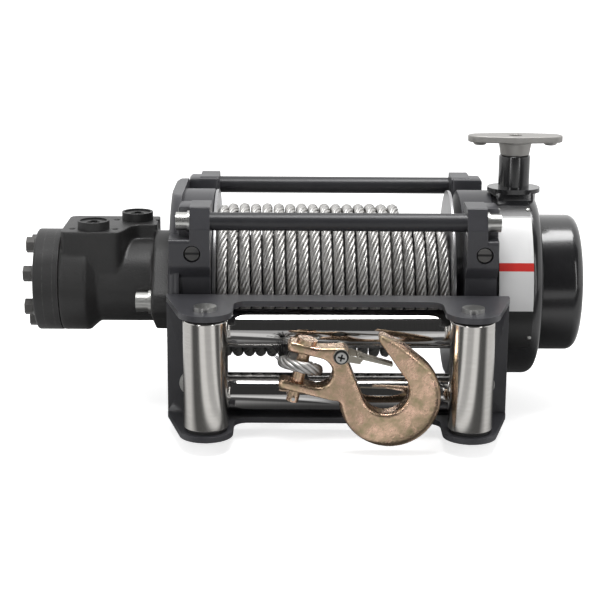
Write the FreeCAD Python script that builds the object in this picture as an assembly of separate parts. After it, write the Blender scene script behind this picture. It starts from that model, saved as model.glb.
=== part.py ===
"""Hydraulic recovery winch with a roller fairlead and a clevis hook.

X runs along the drum, from the motor at -X to the gearbox at +X. The rope leaves towards -Y,
and Z is up. Zero is the middle of the four foot bolts, on the plane that the feet stand on.
All lengths are millimetres. Each sub-part is written to parts/NAME.step.
"""
import FreeCAD, Part
import math
import os

from FreeCAD import Vector

# Overall layout
AXIS_HEIGHT = 111.0
BOLT_SPACING_X = 254.0
BOLT_SPACING_Y = 114.3
FOOT_HOLE_RADIUS = 5.1
FOOT_HOLE_DEPTH = 22.0
RUNNING_GAP = 0.1
SEAT_GAP = 0.1

# End supports
SUPPORT_INNER_X = 111.5
MOTOR_SUPPORT_WIDTH = 37.5
GEAR_SUPPORT_WIDTH = 29.5
BARREL_RADIUS = 85.0
MOTOR_RIM_ROUND = 10.0
GEAR_RIM_ROUND = 1.5
LUG_WIDTH = 17.5
LUG_TOP_Z = 87.0
LUG_BEVEL_DEPTH = 9.0
LUG_BACK_Y = 58.0
PAD_FACE_Y = 102.0
PAD_RECESS = 10.0
UPPER_PAD_Z = 47.0
UPPER_PAD_ABOVE = 22.0
UPPER_PAD_BELOW = 12.0
NOTCH_FLOOR_Z = 60.0
NOTCH_BACK_Y = 68.0
LOWER_PAD_HALF = 20.0
FOOT_HALF_DEPTH = 78.0
FOOT_HEIGHT = 16.0
ARCH_HALF_DEPTH = 36.0
ARCH_HEIGHT = 9.0
CAST_ROUND = 4.0
PAD_HOLE_RADIUS = 7.5
PAD_HOLE_DEPTH = 30.0
NUT_POCKET_SETBACK = 7.0
PAD_NUT_FLATS = 16.0
PAD_NUT_HEIGHT = 8.0
PAD_NUT_THREAD_RADIUS = 4.3

# Tie bars and their cap screws
TIE_BAR_RADIUS = 8.0
TIE_BAR_Y = 91.0
TIE_BAR_Z = 74.0
TIE_SCREW_RADIUS = 5.0
TIE_SCREW_REACH = 20.0
TIE_SCREW_HEAD_RADIUS = 8.0
TIE_SCREW_HEAD_LENGTH = 10.0
TIE_SCREW_SOCKET_FLATS = 8.0
TIE_WASHER_RADIUS = 9.3
TIE_WASHER_THICKNESS = 2.0

# Drum and rope winding
DRUM_JOURNAL_RADIUS = 22.0
DRUM_JOURNAL_LENGTH = 14.0
DRUM_BARREL_RADIUS = 42.0
DRUM_FLANGE_RADIUS = 82.0
DRUM_FLANGE_THICKNESS = 4.0
DRUM_END_GAP = 6.0
ROPE_RADIUS = 5.0
ROPE_TURNS = 20
OUTER_LAYER_TURNS = 15
OUTER_LAYER_RADIUS = 72.0
LAYER_STEP = 10.0
SCALLOP_DEPTH = 3.5

# Orbital motor
MOTOR_FLANGE_THICKNESS = 18.0
MOTOR_FLANGE_RADIUS = 46.0
MOTOR_BOLT_CIRCLE_RADIUS = 52.6
MOTOR_BOLT_ANGLE = 9.0
MOTOR_BOLT_EYE_RADIUS = 15.0
MOTOR_BOLT_RADIUS = 6.0
MOTOR_BOLT_REACH = 18.0
MOTOR_BOLT_HEAD_RADIUS = 9.0
MOTOR_BOLT_HEAD_LENGTH = 11.5
MOTOR_BOLT_SOCKET_FLATS = 10.0
MOTOR_WASHER_THICKNESS = 2.5
MOTOR_NECK_RADIUS = 38.5
MOTOR_NECK_LENGTH = 51.5
MOTOR_SHOULDER_LENGTH = 9.5
MOTOR_RADIUS = 47.0
MOTOR_CASE_LENGTH = 25.0
MOTOR_SPACER_THICKNESS = 5.0
GEROTOR_THICKNESS = 9.0
END_COVER_THICKNESS = 9.0
END_COVER_STEP_RADIUS = 25.0
END_COVER_STEP_HEIGHT = 3.0
COVER_BOLT_COUNT = 7
COVER_BOLT_CIRCLE = 36.5
COVER_BOLT_FIRST_ANGLE = 18.0
COVER_BOLT_FLATS = 13.0
COVER_BOLT_FLANGE_RADIUS = 8.8
COVER_BOLT_FLANGE_THICKNESS = 2.0
COVER_BOLT_HEAD_HEIGHT = 9.0
PORT_FACE_Z = 52.0
PORT_BLOCK_FRONT_Y = -36.0
PORT_BLOCK_STEP_Y = 0.0
PORT_BLOCK_BACK_Y = 41.0
PORT_BLOCK_FRONT_LENGTH = 56.0
PORT_STEP_LENGTH = 19.0
PORT_BLOCK_ROOT_Z = 8.0
PORT_BLOCK_ROUND = 6.0
FRONT_PORT_FROM_CASE_END = 31.0
FRONT_PORT_Y = -20.0
REAR_PORT_FROM_CASE_END = 67.0
REAR_PORT_Y = 23.0
PORT_HOLE_RADIUS = 11.0
PORT_HOLE_DEPTH = 16.0
PORT_BOLT_HOLE_RADIUS = 2.6
PORT_BOLT_HOLE_OFFSET = 19.5
PORT_BOLT_HOLE_DEPTH = 8.0
PLUG_RADIUS = 14.5
PLUG_HEIGHT = 8.0
PLUG_RIM = 2.2
PLUG_DISH = 3.0
PLUG_LOBE_RADIUS = 3.4

# Gearbox
HOUSING_LENGTH = 42.0
HOUSING_RADIUS = 85.0
HOUSING_ROUND = 10.0
GEAR_COVER_LENGTH = 39.0
GEAR_COVER_RADIUS = 62.8
GEAR_COVER_ROUND = 9.0
LABEL_THICKNESS = 1.0
LABEL_MARGIN = 1.5
LABEL_LOW_ANGLE = -30.0
LABEL_HIGH_ANGLE = 66.0

# Clutch shifter
CLUTCH_SETBACK = 21.0
CLUTCH_Y = -6.0
CLUTCH_BOSS_WIDTH = 36.0
CLUTCH_BOSS_PROUD = 2.0
CLUTCH_FLANGE_LENGTH = 48.0
CLUTCH_FLANGE_WIDTH = 40.0
CLUTCH_FLANGE_THICKNESS = 4.0
CLUTCH_POST_RADIUS = 14.0
CLUTCH_POST_HEIGHT = 25.0
CLUTCH_SPINDLE_RADIUS = 5.0
CLUTCH_SPINDLE_HEIGHT = 10.0
HANDLE_LENGTH = 86.0
HANDLE_WIDTH = 32.0
HANDLE_END_RADIUS = 11.0
HANDLE_THICKNESS = 6.0
HANDLE_BOSS_HEIGHT = 12.0
HANDLE_BOSS_RADIUS = 15.0
HANDLE_BOSS_NECK_RADIUS = 13.0
HANDLE_SOCKET_RADIUS = 6.0
HANDLE_SOCKET_DEPTH = 3.5
HANDLE_GRIP_DEPTH = 3.0
HANDLE_GRIP_RADIUS = 7.0

# Roller fairlead
FRAME_PLATE = 5.0
FRAME_TOP_Z = 11.4
FRAME_INNER_HEIGHT = 100.0
STRIP_REACH = 33.0
STRIP_ROUND = 8.0
WINDOW_SIDE_MARGIN = 0.5
WINDOW_HALF_HEIGHT = 48.0
WINDOW_ROUND = 6.0
CROSS_ROLLER_RADIUS = 17.0
CROSS_ROLLER_GAP = 24.0
CROSS_ROLLER_FORWARD = 9.0
CROSS_ROLLER_END_GAP = 1.5
CROSS_PIN_RADIUS = 6.0
CROSS_PIN_HEAD_RADIUS = 9.0
CROSS_PIN_HEAD_LENGTH = 1.2
SIDE_PLATE_X = 109.0
SIDE_PLATE_THICKNESS = 5.0
SIDE_PLATE_REACH = 24.0
SIDE_PLATE_ROUND = 8.0
UPRIGHT_ROLLER_X = 112.5
UPRIGHT_ROLLER_RADIUS = 19.0
ROLLER_TO_ROLLER = 4.0
ROLLER_EDGE = 1.5
UPRIGHT_PIN_RADIUS = 6.3
UPRIGHT_PIN_HEAD_RADIUS = 9.5
UPRIGHT_PIN_HEAD_HEIGHT = 3.5
UPRIGHT_PIN_TAIL = 6.0
ROLLER_EAR_RADIUS = 23.0
ROLLER_WASHER_RADIUS = 16.0
ROLLER_WASHER_THICKNESS = 2.3
FAIRLEAD_BOLT_RADIUS = 6.0
FAIRLEAD_BOLT_FLATS = 18.0
FAIRLEAD_BOLT_HEAD = 7.5
FAIRLEAD_BOLT_REACH = 20.0
FAIRLEAD_WASHER_RADIUS = 11.5
FAIRLEAD_WASHER_THICKNESS = 2.5

# Rope lead, ferrule and eye
HOOK_PIN_X = -32.0
HOOK_PIN_Y = -165.0
HOOK_PIN_Z = -34.5
LEAD_DRUM_X = -49.8
EYE_INNER_RADIUS = 9.0
EYE_LENGTH = 38.0
EYE_STRAND_GAP = 0.2
EYE_SLACK = 1.0
FERRULE_LENGTH = 28.0
FERRULE_WALL = 2.5
FERRULE_ROUND = 5.0

# Clevis hook, drawn in its own plane: p runs away from the pin towards the bowl, q along the pin
HOOK_TILT = 13.5
HOOK_THICKNESS = 19.0
HOOK_EDGE_ROUND = 3.0
CLEVIS_GAP = 25.0
CLEVIS_EAR_THICKNESS = 8.5
CLEVIS_EAR_END = 13.0
CLEVIS_DEPTH = 27.0
BOWL_CENTRE = (73.5, -2.0)
BOWL_RADIUS = 20.0
BACK_CENTRE = (79.0, -7.5)
BACK_RADIUS = 43.0
POINT_TIP = (58.0, 41.5)
POINT_HALF_WIDTH = 2.5
POINT_ROOT = (79.0, 40.0)
SHANK_END_P = 32.0
EAR_TOP_P = 10.0
EAR_END_BULGE = 2.5
LATCH_PIVOT = (30.0, 19.0)
LATCH_BOSS_RADIUS = 7.0
CLEVIS_PIN_RADIUS = 5.25
CLEVIS_PIN_HEAD_RADIUS = 8.5
CLEVIS_PIN_HEAD_HEIGHT = 4.0
CLEVIS_PIN_TAIL = 10.0
COTTER_RADIUS = 1.5
COTTER_HALF_LENGTH = 11.0
COTTER_FROM_EAR = 5.5

# Sprung latch of the hook
LATCH_LENGTH = 44.5
LATCH_ANGLE = 1.5
LATCH_STRAP_OFFSET = 9.0
LATCH_SHEET = 1.8
LATCH_SIDE_GAP = 0.5
LATCH_SCREW_RADIUS = 3.0
LATCH_SCREW_HEAD_RADIUS = 4.6
LATCH_SCREW_HEAD_HEIGHT = 2.0

# Sizes worked out from the ones above
MOTOR_SUPPORT_X = SUPPORT_INNER_X + MOTOR_SUPPORT_WIDTH
GEAR_SUPPORT_X = SUPPORT_INNER_X + GEAR_SUPPORT_WIDTH
FRAME_HALF_WIDTH = MOTOR_SUPPORT_X
WINDOW_HALF_WIDTH = SIDE_PLATE_X - WINDOW_SIDE_MARGIN
CLUTCH_FLANGE_Z = HOUSING_RADIUS + CLUTCH_BOSS_PROUD
DRUM_END_X = SUPPORT_INNER_X - DRUM_END_GAP
DRUM_INNER_X = DRUM_END_X - DRUM_FLANGE_THICKNESS
PLATE_FRONT_Y = -PAD_FACE_Y - FRAME_PLATE
FRAME_INNER_TOP = FRAME_TOP_Z - FRAME_PLATE
FRAME_INNER_LOW = FRAME_INNER_TOP - FRAME_INNER_HEIGHT
WINDOW_Z = FRAME_INNER_TOP - FRAME_INNER_HEIGHT / 2
CROSS_ROLLER_Y = PLATE_FRONT_Y - CROSS_ROLLER_FORWARD
UPRIGHT_ROLLER_Y = CROSS_ROLLER_Y - CROSS_ROLLER_RADIUS - ROLLER_TO_ROLLER - UPRIGHT_ROLLER_RADIUS
LOWER_PAD_Z = UPPER_PAD_Z - BOLT_SPACING_Y

LEFT = -1
RIGHT = 1
FRONT = -1
REAR = 1


def at(x, y, z):
    """Point whose height is counted from the drum axis."""
    return Vector(x, y, AXIS_HEIGHT + z)


def rod(start, end, radius):
    """Round bar from one point to another."""
    along = end - start
    return Part.makeCylinder(radius, along.Length, start, along)


def cone(start, end, start_radius, end_radius):
    """Tapered round bar from one point to another."""
    along = end - start
    return Part.makeCone(start_radius, end_radius, along.Length, start, along)


def block(low, high):
    """Box between two opposite corners, given in any order."""
    corner = Vector(min(low.x, high.x), min(low.y, high.y), min(low.z, high.z))
    return Part.makeBox(abs(high.x - low.x), abs(high.y - low.y), abs(high.z - low.z), corner)


def hexagon(start, end, flats):
    """Six-sided bar with the given width across its flats."""
    along = end - start
    corner_radius = flats / 2 / math.cos(math.pi / 6)
    turn = FreeCAD.Rotation(Vector(0, 0, 1), along)
    ring = [start + turn.multVec(Vector(corner_radius * math.cos(math.radians(60 * step)),
                                        corner_radius * math.sin(math.radians(60 * step)), 0))
            for step in range(7)]
    return Part.Face(Part.makePolygon(ring)).extrude(along)


def rounded_face(corners, place):
    """Flat face from (a, b, radius) corners; place(a, b) turns a corner into a point."""
    stretches = []
    for index, (a, b, radius) in enumerate(corners):
        here = Vector(a, b, 0)
        before = Vector(corners[index - 1][0], corners[index - 1][1], 0) - here
        after_index = (index + 1) % len(corners)
        after = Vector(corners[after_index][0], corners[after_index][1], 0) - here
        if radius == 0:
            stretches.append((here, None, here))
            continue
        before.normalize()
        after.normalize()
        half = before.getAngle(after) / 2
        inward = (before + after).normalize()
        reach = radius / math.tan(half)
        middle = here + inward * (radius / math.sin(half) - radius)
        stretches.append((here + before * reach, middle, here + after * reach))
    edges = []
    for index, (first, middle, last) in enumerate(stretches):
        if middle is not None:
            edges.append(Part.Arc(place(first.x, first.y), place(middle.x, middle.y),
                                  place(last.x, last.y)).toShape())
        following = stretches[(index + 1) % len(stretches)][0]
        if (following - last).Length > 1e-6:
            edges.append(Part.makeLine(place(last.x, last.y), place(following.x, following.y)))
    return Part.Face(Part.Wire(edges))


def rounded_slab(corners, place, along):
    """Plate with the outline of rounded_face, as thick as the vector along."""
    return rounded_face(corners, place).extrude(along)


def turned(profile):
    """Solid turned about the drum axis from (x, radius, rounding) corners."""
    face = rounded_face(profile, lambda x, r: at(x, 0, r))
    return face.revolve(at(0, 0, 0), Vector(1, 0, 0), 360)


def joined(pieces):
    """One solid from pieces that overlap."""
    return pieces[0].multiFuse(pieces[1:]).removeSplitter()


def hull_of_circles(circles, place, along):
    """Plate bounded by circles (a, b, radius) that lie in a row, and the lines that touch them."""
    upper = []
    for (a0, b0, r0), (a1, b1, r1) in zip(circles, circles[1:]):
        run = Vector(a1 - a0, b1 - b0, 0)
        heading = math.atan2(run.y, run.x)
        lean = math.acos((r0 - r1) / run.Length)
        for side in (1, -1):
            angle = heading + side * lean
            first = (a0 + r0 * math.cos(angle), b0 + r0 * math.sin(angle))
            last = (a1 + r1 * math.cos(angle), b1 + r1 * math.sin(angle))
            upper.append((first, last))
    plates = []
    for (first_up, last_up), (first_low, last_low) in zip(upper[::2], upper[1::2]):
        ring = [place(*first_up), place(*last_up), place(*last_low), place(*first_low), place(*first_up)]
        plates.append(Part.Face(Part.makePolygon(ring)).extrude(along))
    for a, b, radius in circles:
        centre = place(a, b)
        plates.append(Part.makeCylinder(radius, along.Length, centre, along))
    return joined(plates)


# Supports

def support_section(front_half):
    """Closed (y, z) outline from its front half, mirrored to the back."""
    back_half = [(-y, z, radius) for y, z, radius in reversed(front_half)]
    return front_half + back_half


def web_section():
    """Outline of the inner web, with the arms that hold the tie bars."""
    recess_y = -PAD_FACE_Y + PAD_RECESS
    return support_section([
        (-ARCH_HALF_DEPTH + ARCH_HEIGHT / 2, -AXIS_HEIGHT + ARCH_HEIGHT, 0),
        (-ARCH_HALF_DEPTH, -AXIS_HEIGHT, 0),
        (-FOOT_HALF_DEPTH, -AXIS_HEIGHT, CAST_ROUND),
        (-FOOT_HALF_DEPTH, -AXIS_HEIGHT + FOOT_HEIGHT, CAST_ROUND),
        (-PAD_FACE_Y, LOWER_PAD_Z - LOWER_PAD_HALF, CAST_ROUND),
        (-PAD_FACE_Y, LOWER_PAD_Z + LOWER_PAD_HALF, CAST_ROUND),
        (recess_y, LOWER_PAD_Z + LOWER_PAD_HALF + PAD_RECESS, CAST_ROUND),
        (recess_y, UPPER_PAD_Z - UPPER_PAD_BELOW - PAD_RECESS, CAST_ROUND),
        (-PAD_FACE_Y, UPPER_PAD_Z - UPPER_PAD_BELOW, CAST_ROUND),
        (-PAD_FACE_Y, UPPER_PAD_Z + UPPER_PAD_ABOVE, CAST_ROUND / 2),
        (-PAD_FACE_Y + LUG_BEVEL_DEPTH, LUG_TOP_Z, CAST_ROUND / 2),
        (-LUG_BACK_Y, LUG_TOP_Z, CAST_ROUND),
        (-LUG_BACK_Y, 0, 0),
    ])


def pedestal_section():
    """Outline of the full-width body below the cap screws of the tie bars."""
    section = [corner for corner in web_section() if corner[0] < 0 and corner[1] <= UPPER_PAD_Z - UPPER_PAD_BELOW]
    section = [corner for corner in section if corner[:2] != (-LUG_BACK_Y, 0)]
    section += [(-PAD_FACE_Y, NOTCH_FLOOR_Z, CAST_ROUND), (-NOTCH_BACK_Y, NOTCH_FLOOR_Z, 0), (-NOTCH_BACK_Y, 0, 0)]
    return support_section(section)


def support(side, width, rim_round):
    """End casting: round barrel, web with four arms, feet and mounting pads."""
    inner_x = side * SUPPORT_INNER_X
    outer_x = side * (SUPPORT_INNER_X + width)
    along = Vector(side, 0, 0)
    barrel = turned([(inner_x, 0, 0), (inner_x, BARREL_RADIUS, CAST_ROUND / 2),
                     (outer_x, BARREL_RADIUS, rim_round), (outer_x, 0, 0)])
    web = rounded_slab(web_section(), lambda y, z: at(inner_x, y, z), along * LUG_WIDTH)
    pedestal = rounded_slab(pedestal_section(), lambda y, z: at(inner_x, y, z), along * (width - CAST_ROUND / 2))
    casting = joined([barrel, web, pedestal])
    hole_x = side * BOLT_SPACING_X / 2
    cuts = [rod(at(inner_x, 0, 0), at(inner_x + side * (DRUM_JOURNAL_LENGTH + 2), 0, 0),
                DRUM_JOURNAL_RADIUS + RUNNING_GAP)]
    for end in (FRONT, REAR):
        foot = Vector(hole_x, end * BOLT_SPACING_Y / 2, 0)
        cuts.append(rod(foot, foot + Vector(0, 0, FOOT_HOLE_DEPTH), FOOT_HOLE_RADIUS))
        bar = at(inner_x, end * TIE_BAR_Y, TIE_BAR_Z)
        cuts.append(rod(bar, bar + along * LUG_WIDTH, TIE_SCREW_RADIUS + SEAT_GAP))
    upper_pad = at(hole_x, -PAD_FACE_Y, UPPER_PAD_Z)
    inward = Vector(0, 1, 0)
    pocket_y = upper_pad.y + NUT_POCKET_SETBACK
    cuts.append(rod(upper_pad, upper_pad + inward * PAD_HOLE_DEPTH, PAD_HOLE_RADIUS))
    half_flats = PAD_NUT_FLATS / 2 + SEAT_GAP
    half_corners = half_flats / math.cos(math.pi / 6)
    cuts.append(block(Vector(hole_x - side * half_corners, pocket_y, upper_pad.z - half_flats),
                      Vector(outer_x, pocket_y + PAD_NUT_HEIGHT, upper_pad.z + half_flats)))
    lower_pad = at(hole_x, -PAD_FACE_Y, LOWER_PAD_Z)
    cuts.append(rod(lower_pad, lower_pad + inward * (FAIRLEAD_BOLT_REACH + 2), FAIRLEAD_BOLT_RADIUS + SEAT_GAP))
    if side == LEFT:
        for bolt in motor_bolt_points(outer_x):
            cuts.append(rod(bolt, bolt - along * (MOTOR_BOLT_REACH + 2), MOTOR_BOLT_RADIUS + SEAT_GAP))
    return casting.cut(Part.makeCompound(cuts))


def mounting_nuts():
    """Captive nuts in the two upper pads."""
    nuts = []
    for side in (LEFT, RIGHT):
        face = at(side * BOLT_SPACING_X / 2, -PAD_FACE_Y + NUT_POCKET_SETBACK + SEAT_GAP, UPPER_PAD_Z)
        back = face + Vector(0, PAD_NUT_HEIGHT - 2 * SEAT_GAP, 0)
        nut = hexagon(face, back, PAD_NUT_FLATS)
        nuts.append(nut.cut(rod(face, back, PAD_NUT_THREAD_RADIUS)))
    return nuts


# Tie bars

def tie_bar(end):
    """Round bar between the supports, tapped at both ends."""
    left = at(-SUPPORT_INNER_X, end * TIE_BAR_Y, TIE_BAR_Z)
    right = at(SUPPORT_INNER_X, end * TIE_BAR_Y, TIE_BAR_Z)
    bar = rod(left, right, TIE_BAR_RADIUS)
    depth = Vector(TIE_SCREW_REACH + 2, 0, 0)
    holes = [rod(left, left + depth, TIE_SCREW_RADIUS + SEAT_GAP),
             rod(right, right - depth, TIE_SCREW_RADIUS + SEAT_GAP)]
    return bar.cut(Part.makeCompound(holes))


def cap_screw(seat, outward, shank_radius, reach, head_radius, head_length, socket_flats):
    """Socket cap screw whose head stands on the seat point and points outward."""
    top = seat + outward * head_length
    screw = joined([rod(seat, top, head_radius), rod(seat - outward * reach, seat, shank_radius)])
    return screw.cut(hexagon(top - outward * (head_length / 2), top, socket_flats))


def washer(seat, outward, thickness, radius, hole_radius):
    """Flat ring that lies on the seat point."""
    top = seat + outward * thickness
    return rod(seat, top, radius).cut(rod(seat, top, hole_radius))


def tie_bar_screws():
    """Four cap screws that pull the supports against the tie bars, with their washers."""
    solids = []
    for side in (LEFT, RIGHT):
        outward = Vector(side, 0, 0)
        for end in (FRONT, REAR):
            seat = at(side * (SUPPORT_INNER_X + LUG_WIDTH), end * TIE_BAR_Y, TIE_BAR_Z)
            head = seat + outward * TIE_WASHER_THICKNESS
            ring = washer(seat, outward, TIE_WASHER_THICKNESS, TIE_WASHER_RADIUS, TIE_SCREW_RADIUS)
            reach = TIE_WASHER_THICKNESS + LUG_WIDTH + TIE_SCREW_REACH
            screw = cap_screw(head, outward, TIE_SCREW_RADIUS, reach, TIE_SCREW_HEAD_RADIUS,
                              TIE_SCREW_HEAD_LENGTH, TIE_SCREW_SOCKET_FLATS)
            solids.append(joined([screw, ring]))
    return solids


# Drum and rope

def drum_barrel():
    """Core of the drum with its journals."""
    journal_x = SUPPORT_INNER_X + DRUM_JOURNAL_LENGTH
    return turned([(-journal_x, 0, 0), (-journal_x, DRUM_JOURNAL_RADIUS, 1),
                   (-DRUM_END_X, DRUM_JOURNAL_RADIUS, 0), (-DRUM_END_X, DRUM_BARREL_RADIUS, 0),
                   (DRUM_END_X, DRUM_BARREL_RADIUS, 0), (DRUM_END_X, DRUM_JOURNAL_RADIUS, 0),
                   (journal_x, DRUM_JOURNAL_RADIUS, 1), (journal_x, 0, 0)])


def drum_flange(side):
    """Plain disc welded to one end of the drum core."""
    return turned([(side * DRUM_INNER_X, DRUM_BARREL_RADIUS, 0), (side * DRUM_INNER_X, DRUM_FLANGE_RADIUS, 1),
                   (side * DRUM_END_X, DRUM_FLANGE_RADIUS, 1), (side * DRUM_END_X, DRUM_BARREL_RADIUS, 0)])


def rope_winding(first_turn, last_turn, crest_radius):
    """Rope on the drum from one turn to another, with a crest for each turn."""
    pitch = 2 * DRUM_INNER_X / ROPE_TURNS
    start_x = -DRUM_INNER_X + first_turn * pitch
    corners = [(start_x, DRUM_BARREL_RADIUS, 0), (start_x, crest_radius - SCALLOP_DEPTH, 0)]
    for turn in range(last_turn - first_turn):
        turn_x = start_x + turn * pitch
        corners += [(turn_x + pitch / 2, crest_radius, 0), (turn_x + pitch, crest_radius - SCALLOP_DEPTH, 0)]
    corners.append((start_x + (last_turn - first_turn) * pitch, DRUM_BARREL_RADIUS, 0))
    return turned(corners)


# Motor

def motor_bolt_points(x):
    """Centres of the two flange bolts in the plane at x."""
    lean = math.radians(MOTOR_BOLT_ANGLE)
    return [at(x, end * MOTOR_BOLT_CIRCLE_RADIUS * math.cos(lean), end * MOTOR_BOLT_CIRCLE_RADIUS * math.sin(lean))
            for end in (FRONT, REAR)]


MOTOR_FLANGE_FACE = -MOTOR_SUPPORT_X - MOTOR_FLANGE_THICKNESS
MOTOR_SHOULDER = MOTOR_FLANGE_FACE - MOTOR_NECK_LENGTH
MOTOR_CASE_START = MOTOR_SHOULDER - MOTOR_SHOULDER_LENGTH
MOTOR_CASE_END = MOTOR_CASE_START - MOTOR_CASE_LENGTH
SPACER_END = MOTOR_CASE_END - MOTOR_SPACER_THICKNESS
GEROTOR_END = SPACER_END - GEROTOR_THICKNESS
END_COVER_FACE = GEROTOR_END - END_COVER_THICKNESS


def motor_ports():
    """Centres of the two oil ports on the port face."""
    return [at(MOTOR_CASE_END + FRONT_PORT_FROM_CASE_END, FRONT_PORT_Y, PORT_FACE_Z),
            at(MOTOR_CASE_END + REAR_PORT_FROM_CASE_END, REAR_PORT_Y, PORT_FACE_Z)]


def motor_body():
    """Cast motor body with its mounting flange and the stepped port block on top."""
    flange_back = -MOTOR_SUPPORT_X
    case = turned([(flange_back, 0, 0), (flange_back, MOTOR_NECK_RADIUS, 0),
                   (MOTOR_SHOULDER, MOTOR_NECK_RADIUS, CAST_ROUND), (MOTOR_CASE_START, MOTOR_RADIUS, 2),
                   (MOTOR_CASE_END, MOTOR_RADIUS, 1), (MOTOR_CASE_END, 0, 0)])
    lean = math.radians(MOTOR_BOLT_ANGLE)
    eye_y = MOTOR_BOLT_CIRCLE_RADIUS * math.cos(lean)
    eye_z = MOTOR_BOLT_CIRCLE_RADIUS * math.sin(lean)
    circles = [(-eye_y, -eye_z, MOTOR_BOLT_EYE_RADIUS), (0, 0, MOTOR_FLANGE_RADIUS),
               (eye_y, eye_z, MOTOR_BOLT_EYE_RADIUS)]
    flange = hull_of_circles(circles, lambda y, z: at(flange_back, y, z), Vector(-MOTOR_FLANGE_THICKNESS, 0, 0))
    step_x = MOTOR_CASE_END + PORT_BLOCK_FRONT_LENGTH
    block_corners = [(MOTOR_CASE_END + 2, PORT_BLOCK_FRONT_Y, PORT_BLOCK_ROUND),
                     (step_x, PORT_BLOCK_FRONT_Y, PORT_BLOCK_ROUND * 1.5),
                     (step_x + PORT_STEP_LENGTH / 2, PORT_BLOCK_STEP_Y, PORT_BLOCK_ROUND * 1.5),
                     (MOTOR_FLANGE_FACE + 1, PORT_BLOCK_STEP_Y, 0),
                     (MOTOR_FLANGE_FACE + 1, PORT_BLOCK_BACK_Y, 0),
                     (MOTOR_CASE_END + 2, PORT_BLOCK_BACK_Y, PORT_BLOCK_ROUND)]
    port_block = rounded_slab(block_corners, lambda x, y: at(x, y, PORT_BLOCK_ROOT_Z),
                              Vector(0, 0, PORT_FACE_Z - PORT_BLOCK_ROOT_Z))
    body = joined([case, flange, port_block])
    cuts = []
    for bolt in motor_bolt_points(flange_back):
        cuts.append(rod(bolt, bolt - Vector(MOTOR_FLANGE_THICKNESS, 0, 0), MOTOR_BOLT_RADIUS + SEAT_GAP))
    for port in motor_ports():
        cuts.append(rod(port - Vector(0, 0, PORT_HOLE_DEPTH), port, PORT_HOLE_RADIUS))
        for side in (LEFT, RIGHT):
            screw = port + Vector(side * PORT_BOLT_HOLE_OFFSET, 0, 0)
            cuts.append(rod(screw - Vector(0, 0, PORT_BOLT_HOLE_DEPTH), screw, PORT_BOLT_HOLE_RADIUS))
    for bolt in cover_bolt_points(MOTOR_CASE_END):
        cuts.append(rod(bolt, bolt + Vector(GEROTOR_THICKNESS, 0, 0), COVER_BOLT_FLATS / 4 + SEAT_GAP))
    return body.cut(Part.makeCompound(cuts))


def cover_bolt_points(x):
    """Centres of the bolts round the motor's end cover, in the plane at x."""
    points = []
    for index in range(COVER_BOLT_COUNT):
        angle = math.radians(COVER_BOLT_FIRST_ANGLE + index * 360 / COVER_BOLT_COUNT)
        points.append(at(x, -COVER_BOLT_CIRCLE * math.sin(angle), COVER_BOLT_CIRCLE * math.cos(angle)))
    return points


def motor_disc(start, end, rim_round):
    """Round slice of the motor, drilled for the long cover bolts."""
    disc = turned([(start, 0, 0), (start, MOTOR_RADIUS, 0), (end, MOTOR_RADIUS, rim_round), (end, 0, 0)])
    holes = [rod(point, point + Vector(end - start, 0, 0), COVER_BOLT_FLATS / 4 + SEAT_GAP)
             for point in cover_bolt_points(start)]
    return disc.cut(Part.makeCompound(holes))


def motor_end_cover():
    """End cover with its low round step."""
    cover = motor_disc(GEROTOR_END, END_COVER_FACE, CAST_ROUND / 2)
    step = rod(at(END_COVER_FACE, 0, 0), at(END_COVER_FACE - END_COVER_STEP_HEIGHT, 0, 0), END_COVER_STEP_RADIUS)
    return joined([cover, step])


def motor_cover_bolts():
    """Flanged hexagon bolts that hold the stack of motor slices together."""
    bolts = []
    outward = Vector(-1, 0, 0)
    reach = END_COVER_THICKNESS + GEROTOR_THICKNESS + MOTOR_SPACER_THICKNESS + GEROTOR_THICKNESS
    for seat in cover_bolt_points(END_COVER_FACE):
        skirt = cone(seat, seat + outward * COVER_BOLT_FLANGE_THICKNESS, COVER_BOLT_FLANGE_RADIUS,
                     COVER_BOLT_FLATS / 2)
        head = hexagon(seat, seat + outward * COVER_BOLT_HEAD_HEIGHT, COVER_BOLT_FLATS)
        shank = rod(seat, seat - outward * (reach - 1), COVER_BOLT_FLATS / 4)
        bolts.append(joined([head, skirt, shank]))
    return bolts


def port_plug(port):
    """Screwed-in plug with a raised rim and a three-lobed recess."""
    up = Vector(0, 0, 1)
    head = rod(port, port + up * PLUG_HEIGHT, PLUG_RADIUS)
    neck = rod(port - up * (PORT_HOLE_DEPTH - 2), port, PORT_HOLE_RADIUS - SEAT_GAP)
    plug = joined([head, neck])
    top = port + up * PLUG_HEIGHT
    cuts = [rod(top - up * PLUG_DISH / 2, top, PLUG_RADIUS - PLUG_RIM)]
    for index in range(3):
        angle = math.radians(90 + 120 * index)
        lobe = top + Vector(math.cos(angle), math.sin(angle), 0) * PLUG_LOBE_RADIUS
        cuts.append(rod(lobe - up * PLUG_DISH * 2, lobe, PLUG_LOBE_RADIUS))
    return plug.cut(joined(cuts))


def motor_flange_bolts():
    """Two cap screws with washers that hold the motor to its support."""
    outward = Vector(-1, 0, 0)
    solids = []
    for seat in motor_bolt_points(MOTOR_FLANGE_FACE):
        head = seat + outward * MOTOR_WASHER_THICKNESS
        ring = washer(seat, outward, MOTOR_WASHER_THICKNESS, MOTOR_BOLT_HEAD_RADIUS + 2, MOTOR_BOLT_RADIUS)
        reach = MOTOR_WASHER_THICKNESS + MOTOR_FLANGE_THICKNESS + MOTOR_BOLT_REACH
        screw = cap_screw(head, outward, MOTOR_BOLT_RADIUS, reach, MOTOR_BOLT_HEAD_RADIUS,
                          MOTOR_BOLT_HEAD_LENGTH, MOTOR_BOLT_SOCKET_FLATS)
        solids.append(joined([screw, ring]))
    return solids


# Gearbox and clutch

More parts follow.
